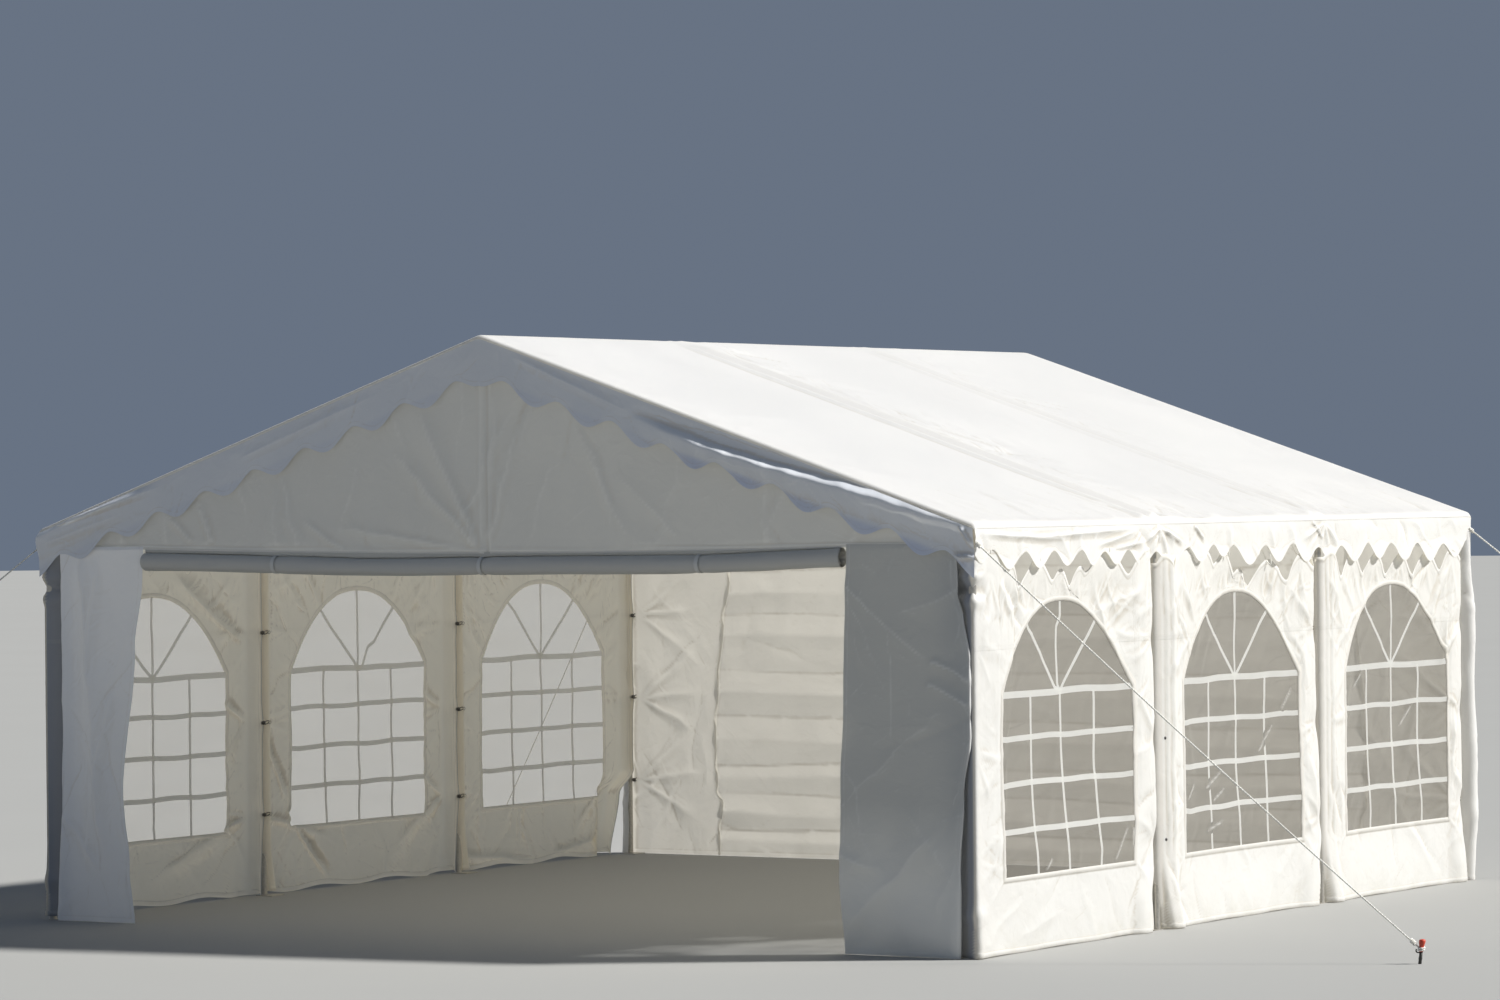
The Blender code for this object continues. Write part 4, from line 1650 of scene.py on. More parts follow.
@dataclass
class EndSheet:
    """A sheet of an end wall: it runs along a line on the plan between a lower and an upper edge."""

    name: str
    face: Face
    plan: Sequence[Point]
    middle: float
    creases: Creases
    replaces: tuple[str, ...] = ()
    rests_on: tuple[str, ...] = ()
    step: float = 0.016
    rise: float = 0.018
    finish: Finish = SHADED_END_CLOTH

    def low(self, u: Array) -> Array:
        """Height of the lower edge."""
        return np.full(np.shape(u), 0.002)

    def high(self, u: Array) -> Array:
        """Height of the upper edge."""
        return np.full(np.shape(u), DOOR_HEAD + 0.012)

    def sway(self, u: Array, up: Array) -> Array:
        """How far the sheet is drawn along the wall."""
        return np.zeros(np.shape(u))

    def lift(self, u: Array, up: Array) -> Array:
        """How far the sheet stands out from its line."""
        return self.creases(u, up)

    def points(self, path: PlanPath, u: Array, up: Array, lift: Array) -> Array:
        """Places on the sheet in the row frame."""
        moved = self.sway(u, up)
        return path.place(self.face, u, up, lift) + self.face.world(moved, 0.0 * moved, 0.0 * moved)

    def build(self) -> bpy.types.Object:
        """Makes the sheet.

        Returns:
            The piece.
        """
        path = PlanPath(self.plan, self.middle)
        start, end = path.start, path.end
        stops = [(start, 1.0), (start + 0.001, 0.001), (start + 0.021, 0.01), (start + 0.0235, 0.0025)]
        stops += [(start + 0.1, 0.009), (end - 0.1, self.step), (end - 0.0235, 0.009)]
        stops += [(end - 0.021, 0.0025), (end - 0.001, 0.01), (end, 0.001)]
        u = spaced(stops)
        tall = float(np.max(self.high(u) - self.low(u)))
        foot = [(0.0, 1.0), (0.0005, 0.0005), (0.011, 0.006), (0.0125, 0.0015), (1.0, self.rise / tall)]
        grid_u, grid_s = np.meshgrid(u, spaced(foot))
        low, high = self.low(grid_u), self.high(grid_u)
        up = low + grid_s * (high - low)
        edge = np.minimum(np.minimum(grid_u - start, end - grid_u), up - low)
        rows = self.points(path, grid_u, up, self.lift(grid_u, up) + hem(edge))
        trim_and_painted_light = 0.25 * (edge < 0.0015)
        mesh = loft(self.name, rows, stacked(grid_u, up), self.face.outward, trim_and_painted_light=trim_and_painted_light)
        piece = add_piece(self.name, mesh, self.finish, self.replaces)
        size = (float(end - start), tall)
        area = min(float(np.trapz(self.high(u) - self.low(u), u)), size[0] * size[1])
        return piece


@dataclass
class GablePanel(EndSheet):
    """The part of an end wall over the doorway, sewn up the middle."""

    def low(self, u: Array) -> Array:
        """The seam over the door."""
        return door_seam(u) - 0.004

    def high(self, u: Array) -> Array:
        """Just under the cover."""
        return roof_line(np.minimum(np.abs(u), HALF)) - 0.012

    def lift(self, u: Array, up: Array) -> Array:
        """Creases that keep clear of the valance, and the sewn seam up the middle.

        Args:
            u: places along the sheet.
            up: heights on it.

        Returns:
            The distances outwards.
        """
        seam = 0.004 * bell(u + 0.004, 0.012) - 0.010 * bell(u - 0.024, 0.012)
        room = 0.010 + 0.05 * ease(0.26, 0.36, roof_line(u) - up)
        above = up - door_seam(u)
        folds = self.creases(u, up) * ease(0.0, 0.05, above)
        band = 0.003 * bell(above - 0.012, 0.006) + 0.002 * bell(above, 0.004)
        return np.minimum(folds, room) + seam + band


@dataclass
class DoorFlap(EndSheet):
    """The strip beside a doorway, with a free inner edge and an outer edge drawn round the leg."""

    inner: tuple[Point, ...] = ()
    outer: tuple[Point, ...] = ()

    def sway(self, u: Array, up: Array) -> Array:
        """Draws the free edge and the outer edge to the places where they hang.

        Args:
            u: places along the sheet.
            up: heights on it.

        Returns:
            The shifts along the wall.
        """
        sign = 1.0 if self.middle > 0 else -1.0
        total = np.zeros(np.shape(u))
        if self.inner:
            total += sign * fade(2.27, 2.75, np.abs(u)) * smooth_between(up, self.inner)
        if self.outer:
            total += sign * ease(2.62, 2.84, np.abs(u)) * smooth_between(up, self.outer)
        return total


@dataclass
class ClosedDoor(EndSheet):
    """The zipped rear door, with the folds that it was packed in."""

    pleats: tuple[float, ...] = (
        1.86, 1.69, 1.56, 1.41, 1.2, 1.05, 0.89, 0.75, 0.6, 0.52, 0.40, 0.28, 0.18, 0.1,
    )
    seam: tuple[Point, ...] = ()

    def sway(self, u: Array, up: Array) -> Array:
        """Draws both zipped edges to where they hang."""
        return np.sign(u) * ease(1.75, 2.25, np.abs(u)) * smooth_between(up, self.seam)

    def lift(self, u: Array, up: Array) -> Array:
        """Pleats across the door that wander and fade, as well as its creases.

        Args:
            u: places along the sheet.
            up: heights on it.

        Returns:
            The distances outwards.
        """
        noise = Lattice(self.creases.seed + 3)
        total = self.creases(u, up)
        for index, place in enumerate(self.pleats):
            line = place + 0.03 * noise.at(u * 0.9, 2.3 * index)
            strength = 0.7 + 0.6 * noise.at(u * 0.8 + 20.0, 1.7 * index)
            sign = 1.0 if index % 2 else -0.8
            away = np.abs(up - line)
            total += sign * strength * 0.017 * np.maximum(0.0, 1.0 - away / 0.095) ** 1.6
        return total * ease(0.0, 0.05, DOOR_HEAD - up)


@dataclass
class DoorRoll:
    """The front door, rolled up under the gable panel."""

    left: float = -2.262
    right: float = 2.212
    inner: float = 0.030
    outer: float = 0.0505
    turns: float = 7.3
    fineness: int = 20  # points to a turn
    out: float = 2.9765
    strap: float = 0.024  # the straps' width
    ties: tuple[float, ...] = (-1.36, 0.0, 1.36)

    @staticmethod
    def _middle(x: Array) -> Array:
        """Height of the roll's middle, which sags along with the seam above it."""
        share = x / 2.24
        return 1.9715 + 0.034 * share**2 + 0.006 * share + 0.004 * np.sin(3.1 * x + 0.6)

    def build(self) -> None:
        """Makes the roll and the straps that hold it."""
        noise = Lattice(71)
        stops = [(self.left, 1.0), (self.left + 0.06, 0.012), (self.right - 0.06, 0.04), (self.right, 0.012)]
        x = spaced(stops)
        turn = np.linspace(0.0, self.turns * 2 * math.pi, int(self.turns * self.fineness))
        radius = self.inner + (self.outer - self.inner) * turn / turn[-1]
        start = math.pi / 2 - turn[-1]
        grid_x, grid_t = np.meshgrid(x, turn)
        angle = grid_t + start
        swell = 1.0 + 0.05 * noise.cloudy(grid_x * 1.1, np.cos(angle) + 0.06 * grid_t, 0.8, 2)
        swell += 0.05 * noise.crinkled(grid_x, np.sin(angle) * 0.3 + 3.0, 0.4, 0.0, 25.0)
        swell += 0.03 * noise.at(grid_x * 5.0, np.cos(angle) * 2.0)
        for place in self.ties:
            swell -= 0.13 * bell(grid_x - place, 0.035)
        grid_r = np.repeat(radius[:, None], len(x), axis=1) * swell
        y = -self.out + 0.96 * grid_r * np.cos(angle)
        z = self._middle(grid_x) + grid_r * np.sin(angle)
        rows = stacked(grid_x, y, z)
        tail = np.linspace(0.25, 1.0, 4)[:, None, None]
        above = stacked(x, -GABLE - 0.002, door_seam(x) + 0.004)[None]
        rows = np.vstack([rows, rows[-1][None] * (1 - tail) + above * tail])
        length = np.concatenate([[0.0], np.cumsum(radius[1:] * np.diff(turn))])
        length = np.concatenate([length, length[-1] + 0.02 * np.arange(1, 5)])
        mesh = loft("front_door_roll", rows, stacked(x[None, :], length[:, None]), Face.FRONT.outward)
        piece = add_piece("rolled_front_door", mesh, SHADED_END_CLOTH, ["front_door_roll"])
        for index, place in enumerate(self.ties):
            self._strap(index + 1, place)

    def _strap(self, number: int, place: float) -> None:
        """A webbing strap round the roll, sewn into the seam above it.

        Args:
            number: the strap's number.
            place: where it is across the tent.
        """
        turn = np.linspace(-0.62 * math.pi, 1.5 * math.pi, 40)
        radius = self.outer * 0.92 + 0.002
        y = -self.out + radius * np.cos(turn)
        z = float(self._middle(np.array(place))) + radius * np.sin(turn)
        x = place + self.strap * np.array([-0.5, -1 / 6, 1 / 6, 0.5])
        length = radius * (turn - turn[0])
        name = f"roll_strap_{number}"
        rows = stacked(x[None, :], y[:, None], z[:, None])
        mesh = loft(name, rows, stacked(x[None, :], length[:, None]), Face.FRONT.outward)
        piece = add_piece(name, mesh, SHADED_END_CLOTH)


def grown(
    name: str, tree: bpy.types.NodeTree, base: bpy.types.Mesh, values: dict[str, float]
) -> bpy.types.Mesh:
    """Runs a Geometry Nodes tree over a base mesh.

    Args:
        name: the result's name.
        tree: the tree, whose first input is the base.
        base: the mesh that it starts from.
        values: its named inputs.

    Returns:
        The result as a plain mesh.
    """
    carrier = linked(name, base)
    modifier = carrier.modifiers.new("grow", "NODES")
    modifier.node_group = tree
    for item in tree.interface.items_tree:
        if item.item_type == "SOCKET" and item.in_out == "INPUT" and item.name in values:
            modifier[item.identifier] = values[item.name]
    bpy.context.view_layer.update()
    mesh = bpy.data.meshes.new_from_object(carrier.evaluated_get(bpy.context.evaluated_depsgraph_get()))
    carrier.modifiers.remove(modifier)
    bpy.data.objects.remove(carrier)
    mesh.name = name
    return mesh


class GeometryTree(Graph):
    """A Geometry Nodes tree with named inputs."""

    def __init__(self, name: str, inputs: dict[str, float | int]) -> None:
        """Makes the tree with its inputs.

        Args:
            name: the tree's name.
            inputs: the inputs' names and values.
        """
        tree = bpy.data.node_groups.new(name, "GeometryNodeTree")
        tree.interface.new_socket("Geometry", in_out="INPUT", socket_type="NodeSocketGeometry")
        for label, value in inputs.items():
            kind = "NodeSocketInt" if isinstance(value, int) else "NodeSocketFloat"
            tree.interface.new_socket(label, in_out="INPUT", socket_type=kind).default_value = value
        tree.interface.new_socket("Geometry", in_out="OUTPUT", socket_type="NodeSocketGeometry")
        super().__init__(tree)
        self.entry = tree.nodes.new("NodeGroupInput")

    def given(self, name: str) -> Socket:
        """A named input."""
        return Socket(self, self.entry.outputs[name])

    def close(self, geometry: Socket, finish: Finish) -> bpy.types.NodeTree:
        """Ends the tree in real, smooth geometry with its material.

        Args:
            geometry: what the tree has made.
            finish: the material.

        Returns:
            The tree.
        """
        real = self.node("GeometryNodeRealizeInstances", None, {0: geometry})
        smooth = self.node("GeometryNodeSetShadeSmooth", None, {0: real})
        painted = self.tree.nodes.new("GeometryNodeSetMaterial")
        painted.inputs["Material"].default_value = finish.material()
        self.tree.links.new(smooth.socket, painted.inputs["Geometry"])
        leave = self.tree.nodes.new("NodeGroupOutput")
        self.tree.links.new(painted.outputs[0], leave.inputs[0])
        return self.tree


def cord_tree(finish: Finish, strands: int) -> bpy.types.NodeTree:
    """Twists strands along the edges of a mesh.

    Args:
        finish: the cord's material.
        strands: how many strands are twisted.

    Returns:
        The tree.
    """
    graph = GeometryTree("twisted_cord", {"Radius": 0.0045, "Lay": 0.045, "Step": 0.006, "Sides": 6})
    circle, radius = "GeometryNodeCurvePrimitiveCircle", graph.given("Radius")
    line = graph.node("GeometryNodeMeshToCurve", None, {0: graph.given("Geometry")})
    even = {"Curve": line, "Length": graph.given("Step")}
    line = graph.node("GeometryNodeResampleCurve", {"mode": "LENGTH"}, even)
    far = graph.node("GeometryNodeSplineParameter", None, None, "Length")
    turn = far * (2 * math.pi) / graph.given("Lay")
    line = graph.node("GeometryNodeSetCurveTilt", None, {"Curve": line, "Tilt": turn})
    strand = {"Resolution": graph.given("Sides"), "Radius": radius * (1.0 if strands == 1 else 0.56)}
    profile = graph.node(circle, None, strand)
    if strands > 1:
        around = graph.node(circle, None, {"Resolution": strands, "Radius": radius * 0.5})
        places = graph.node("GeometryNodeCurveToPoints", {"mode": "EVALUATED"}, {0: around})
        profile = graph.node("GeometryNodeInstanceOnPoints", None, {"Points": places, "Instance": profile})
        profile = graph.node("GeometryNodeRealizeInstances", None, {0: profile})
    sweep = {"Curve": line, "Profile Curve": profile, "Fill Caps": True}
    return graph.close(graph.node("GeometryNodeCurveToMesh", None, sweep), finish)


class Fitting(Enum):
    """Small things that are set on points: each is turned to face the point's own way."""

    EYELET = "eyelet"
    BALL = "ball"
    BOLT = "bolt"


def fitting_tree(kind: Fitting, finish: Finish) -> bpy.types.NodeTree:
    """Sets a fitting on every vertex of a mesh, facing along the attribute facing.

    Args:
        kind: the fitting.
        finish: its material.

    Returns:
        The tree.
    """
    graph = GeometryTree(f"{kind.value}_setter", {"Radius": 0.01, "Thickness": 0.003, "Sides": 14})
    radius, thick, sides = (graph.given(name) for name in ("Radius", "Thickness", "Sides"))
    if kind is Fitting.EYELET:
        around = graph.node("GeometryNodeCurvePrimitiveCircle", None, {"Resolution": sides, "Radius": radius})
        wire = graph.node("GeometryNodeCurvePrimitiveCircle", None, {"Resolution": 7, "Radius": thick})
        shape = graph.node("GeometryNodeCurveToMesh", None, {"Curve": around, "Profile Curve": wire})
    elif kind is Fitting.BALL:
        size = {"Segments": sides, "Rings": 8, "Radius": radius}
        shape = graph.node("GeometryNodeMeshUVSphere", None, size)
    else:
        size = {"Vertices": 6, "Radius": radius, "Depth": thick}
        head = graph.node("GeometryNodeMeshCylinder", None, size)
        size = {"Vertices": 16, "Radius": radius * 1.35, "Depth": thick * 0.3}
        washer = graph.node("GeometryNodeMeshCylinder", None, size)
        lower = graph.node("ShaderNodeCombineXYZ", None, {"Z": thick * -0.55})
        washer = graph.node("GeometryNodeTransform", None, {"Geometry": washer, "Translation": lower})
        shape = graph.tree.nodes.new("GeometryNodeJoinGeometry")
        for part in (head, washer):
            graph.tree.links.new(part.socket, shape.inputs[0])
        shape = Socket(graph, shape.outputs[0])
    kept = {"data_type": "FLOAT_VECTOR"}
    facing = graph.node("GeometryNodeInputNamedAttribute", kept, {"Name": "facing"})
    turn = graph.node("FunctionNodeAlignRotationToVector", {"axis": "Z"}, {"Vector": facing})
    placed = {"Points": graph.given("Geometry"), "Instance": shape, "Rotation": turn}
    return graph.close(graph.node("GeometryNodeInstanceOnPoints", None, placed), finish)


def points_mesh(places: Sequence[Spot], facings: Sequence[Spot]) -> bpy.types.Mesh:
    """A mesh of loose points, each with the way that it faces.

    Args:
        places: the points.
        facings: their ways.

    Returns:
        The mesh.
    """
    mesh = bpy.data.meshes.new("points")
    mesh.from_pydata([tuple(map(float, place)) for place in places], [], [])
    layer = mesh.attributes.new("facing", "FLOAT_VECTOR", "POINT")
    layer.data.foreach_set("vector", np.array(facings, np.float32).ravel())
    return mesh


def lines_mesh(lines: Sequence[Sequence[Spot]]) -> bpy.types.Mesh:
    """A mesh of loose edges along several lines.

    Args:
        lines: the points of each line.

    Returns:
        The mesh.
    """
    points: list[tuple[float, ...]] = []
    edges: list[tuple[int, int]] = []
    for line in lines:
        first = len(points)
        points += [tuple(map(float, point)) for point in line]
        edges += [(first + step, first + step + 1) for step in range(len(line) - 1)]
    mesh = bpy.data.meshes.new("lines")
    mesh.from_pydata(points, edges, [])
    return mesh


def add_fittings(
    name: str, kind: Fitting, finish: Finish, spots: Sequence[Sequence[Spot]],
    values: dict[str, float],
) -> None:
    """Adds a piece that is one fitting many times, at spots that are places and their facings."""
    mesh = grown(name, fitting_tree(kind, finish), points_mesh(*spots), values)
    add_piece(name, mesh, finish)


def add_cords(
    name: str, finish: Finish, lines: Sequence[Sequence[Spot]], values: dict[str, float],
    strands: int = 1, replaces: Sequence[str] = (),
) -> None:
    """Adds a piece of round or twisted cords along some lines."""
    mesh = grown(name, cord_tree(finish, strands), lines_mesh(lines), values)
    add_piece(name, mesh, finish, replaces)


def door_seam(x: Array) -> Array:
    """Height of the seam over the doors, which sags a little in the middle."""
    return DOOR_HEAD - 0.027 * np.clip(1.0 - (x / 2.26) ** 2, 0.0, 1.0)


def ring(place: Vector, first: Vector, second: Vector, steps: int = 16) -> list[Spot]:
    """A closed line round a place, whose half widths are two vectors."""
    turns = [2 * math.pi * step / steps for step in range(steps + 1)]
    return [tuple(place + first * math.cos(turn) + second * math.sin(turn)) for turn in turns]


def build_flap(face: Face, side: str, way: float, seed: int) -> None:
    """The strip of an end wall between a doorway and the corner.

    Args:
        face: the end wall.
        side: left or right.
        way: -1 for the left one and 1 for the right one.
        seed: for its creases.
    """
    end = face.value
    front = face is Face.FRONT
    outer = [(2.30 if front else 2.25, WALL), (2.5, WALL + 0.001), (2.7, WALL + 0.002), (2.80, WALL + 0.006)]
    if front:
        outer += [(2.862, WALL + 0.014), (2.886, WALL + 0.013), (2.893, WALL + 0.006), (2.884, WALL + 0.002)]
    else:
        outer += [(2.92, WALL + 0.002), (2.965, 2.993), (2.992, 2.990), (3.004, 2.970)]
        outer += [(2.998, 2.950), (2.976, 2.931), (2.950, 2.923)]
    plan = [(way * along, out) for along, out in outer]
    plan = plan if way > 0 else plan[::-1]
    creases = Creases(seed, swell=0.010, facet=0.005 if front else 0.009, folds=flap_folds(face, way))
    if not front:
        creases.folds.append(Fold((way * 3.0, 1.88), (way * 3.0, -0.4), 0.09, 0.032))
    nodes = (f"front_flap_{side}",) if front else ()
    name, above = f"{end}_flap_{side}_cloth", (f"{end}_gable_cloth",)
    flap = DoorFlap(name, face, plan, way * 2.6, creases, nodes, above)
    flap.step, flap.rise = 0.012, 0.013
    if front and way > 0:
        flap.inner = ((2.07, -0.06), (1.39, -0.083), (0.82, -0.112), (0.39, -0.118), (0.0, -0.092))
        flap.outer = ((2.05, 0.0), (1.85, 0.004), (1.72, 0.035), (1.5, 0.068), (1.12, 0.068), (0.84, 0.03))
        flap.outer += ((0.41, 0.0), (0.0, -0.01))
    elif front:
        flap.inner = ((2.07, -0.03), (1.93, -0.02), (1.51, 0.036), (0.68, 0.135), (0.3, 0.09), (0.0, 0.05))
        flap.outer = ((2.05, -0.045), (1.2, -0.04), (0.6, -0.03), (0.0, -0.01))
        flap.finish = LIGHTENED_LEFT_END_CLOTH
    else:
        flap.inner, flap.finish = REAR_SEAM, REAR_CLOTH
    flap.build()


@dataclass
class Studio:
    """The floor, the light and the camera."""

    place: tuple[float, float, float] = (16.2341, -26.4693, 2.374)
    yaw: float = -0.5551
    pitch: float = -0.0023
    roll: float = 0.0102
    focal: float = 5388.4  # in pixels of the 1500 pixel wide photograph
    sensor: float = 36.0
    sun: tuple[float, float, float] = (0.62, 0.38, 0.69)
    sunlight: float = 6.85
    sun_colour: tuple[float, float, float] = (1.0, 0.98, 0.945)
    sky: tuple[float, float, float] = (0.46, 0.57, 0.76)
    skylight: float = 0.30
    floor_radius: float = 140.0

    def _camera(self) -> None:
        """The camera, where the photograph was taken from."""
        cy, sy, cp, sp = math.cos(self.yaw), math.sin(self.yaw), math.cos(self.pitch), math.sin(self.pitch)
        ahead = Vector((sy * cp, cy * cp, sp))
        right = Vector((cy, -sy, 0.0))
        down = ahead.cross(right)
        cr, sr = math.cos(self.roll), math.sin(self.roll)
        across, below = cr * right + sr * down, -sr * right + cr * down
        data = bpy.data.cameras.new("camera")
        data.sensor_width = self.sensor
        data.lens = self.focal * self.sensor / 1500.0
        data.clip_start, data.clip_end = 0.5, 400.0
        camera = linked("camera", data)
        turn = Matrix((across, -below, -ahead)).transposed()
        camera.matrix_world = Matrix.Translation(self.place) @ turn.to_4x4()
        bpy.context.scene.camera = camera

    def _light(self) -> None:
        """A high soft key from the right and behind, and an even pale fill."""
        lamp = bpy.data.lights.new("key", "SUN")
        lamp.energy = self.sunlight
        lamp.angle = math.radians(5.0)
        lamp.color = self.sun_colour
        key = linked("key", lamp)
        key.rotation_mode = "QUATERNION"
        key.rotation_quaternion = Vector(self.sun).to_track_quat("Z", "Y")
        world = bpy.data.worlds.new("studio")
        world.use_nodes = True
        back = world.node_tree.nodes["Background"]
        back.inputs["Color"].default_value = rgba(self.sky)
        back.inputs["Strength"].default_value = self.skylight
        bpy.context.scene.world = world
        bpy.context.scene.view_settings.view_transform = "Standard"

    def build(self) -> None:
        """Makes the studio."""
        self._camera()
        self._light()
        bm = bmesh.new()
        bmesh.ops.create_circle(bm, cap_ends=True, segments=96, radius=self.floor_radius)
        mesh = bpy.data.meshes.new("floor")
        bm.to_mesh(mesh)
        bm.free()
        mesh.materials.append(PaleFloor().material())
        linked("floor", mesh)


@dataclass
class Frame:
    """The steel frame: its tubes keep their own shapes and get their finish and their bolts."""

    bolts: tuple[float, ...] = (0.05, 0.095)  # how far from a corner they are
    drop: float = 0.0283  # from the cover to the tubes' middle
    proud: float = 0.026  # from a leg's middle to its bolts
    under: float = 0.027  # from a rafter's middle to its bolts

    def _spots(self) -> list[tuple[Spot, Spot]]:
        """Where the bolts are.

        Returns:
            The place of each, and the way that it faces.
        """
        spots = []
        down = (0.0, 0.0, -1.0)
        eave, top = float(roof_line(LEG)) - self.drop, PEAK - self.drop
        for side in (-1.0, 1.0):
            for y in FRAMES:
                for reach in self.bolts:
                    out, rise = reach * math.cos(PITCH), reach * math.sin(PITCH)
                    spots.append(((side * (LEG - self.proud), y, eave - reach), (-side, 0.0, 0.0)))
                    spots.append(((side * (LEG - out), y, eave + rise - self.under), down))
                    spots.append(((side * out, y, top - rise - self.under), down))
        return spots

    def build(self) -> None:
        """Paints the tubes and sets the bolts."""
        for name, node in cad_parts.items():
            if name.startswith(("leg", "rafter", "eave_rail", "ridge_rail")):
                node.data.materials.clear()
                node.data.materials.append(STEEL.material())
        values = {"Radius": 0.0065, "Thickness": 0.006, "Sides": 6}
        spots = list(zip(*self._spots()))
        add_fittings("frame_bolts", Fitting.BOLT, STEEL, spots, values)


@dataclass
class Ties:
    """Elastic ties with balls, and the eyelets that they go through."""

    eyelets: list[tuple[Spot, Spot]] = field(default_factory=list)
    loops: list[list[Spot]] = field(default_factory=list)
    hangers: list[list[Spot]] = field(default_factory=list)
    balls: list[Spot] = field(default_factory=list)
    slack: float = 0.021  # how far a hanger keeps from the line between rail and tongue

    def _post(self, side: float, y: float) -> None:
        """The ties of one leg, which draw the two panels together behind it.

        Args:
            side: -1 on the left and 1 on the right.
            y: the leg's place along the tent.
        """
        for height in TIE_HEIGHTS:
            inside = side * (WALL - 0.062)
            middle = Vector((inside, y - 0.013, height))
            self.loops.append(ring(middle, Vector((side * 0.008, 0.039, 0.004)), Vector((0.0, 0.0, 0.009))))
            self.balls.append((inside - side * 0.013, y - 0.058, height))
            for along in (-0.052, 0.026):
                self.eyelets.append(((side * (WALL - 0.0595), y + along, height), (-side, 0.0, 0.0)))

    def hang(self, side: float, y: float, top: float) -> None:
        """The white cord that hangs a tongue of a side wall from the eave rail.

        Args:
            side: -1 on the left and 1 on the right.
            y: the tongue's place.
            top: its height.
        """
        low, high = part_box("eave_rail_right")
        rail = Vector((side * (low.x + high.x) / 2, y, (low.z + high.z) / 2))
        foot = Vector((side * (WALL - 0.006), y, top - 0.012))
        across = (foot - rail) / 2
        around = Vector((-across.z, 0.0, across.x)).normalized() * self.slack
        self.hangers.append(ring((foot + rail) / 2, across * (1.0 + self.slack / across.length), around, 24))

    def build(self) -> None:
        """Makes the ties."""
        for side in (-1.0, 1.0):
            for y in (-1.0, 1.0, 2.985):
                self._post(side, y)
        self.balls += [(WALL + 0.008, -0.955, height) for height in TIE_HEIGHTS[1:]]
        values = {"Radius": 0.0095, "Thickness": 0.0024, "Sides": 16}
        spots = list(zip(*self.eyelets))
        add_fittings("wall_eyelets", Fitting.EYELET, STEEL, spots, values)
        values = {"Radius": 0.0028, "Lay": 1.0, "Step": 0.009, "Sides": 6}
        add_cords("elastic_loops", ELASTIC, self.loops, values)
        add_cords("tongue_hangers", ROPE, self.hangers, values)
        values = {"Radius": 0.0125, "Thickness": 0.001, "Sides": 14}
        spots = [self.balls, [(0.0, 0.0, 1.0)] * len(self.balls)]
        add_fittings("tie_balls", Fitting.BALL, BALL, spots, values)


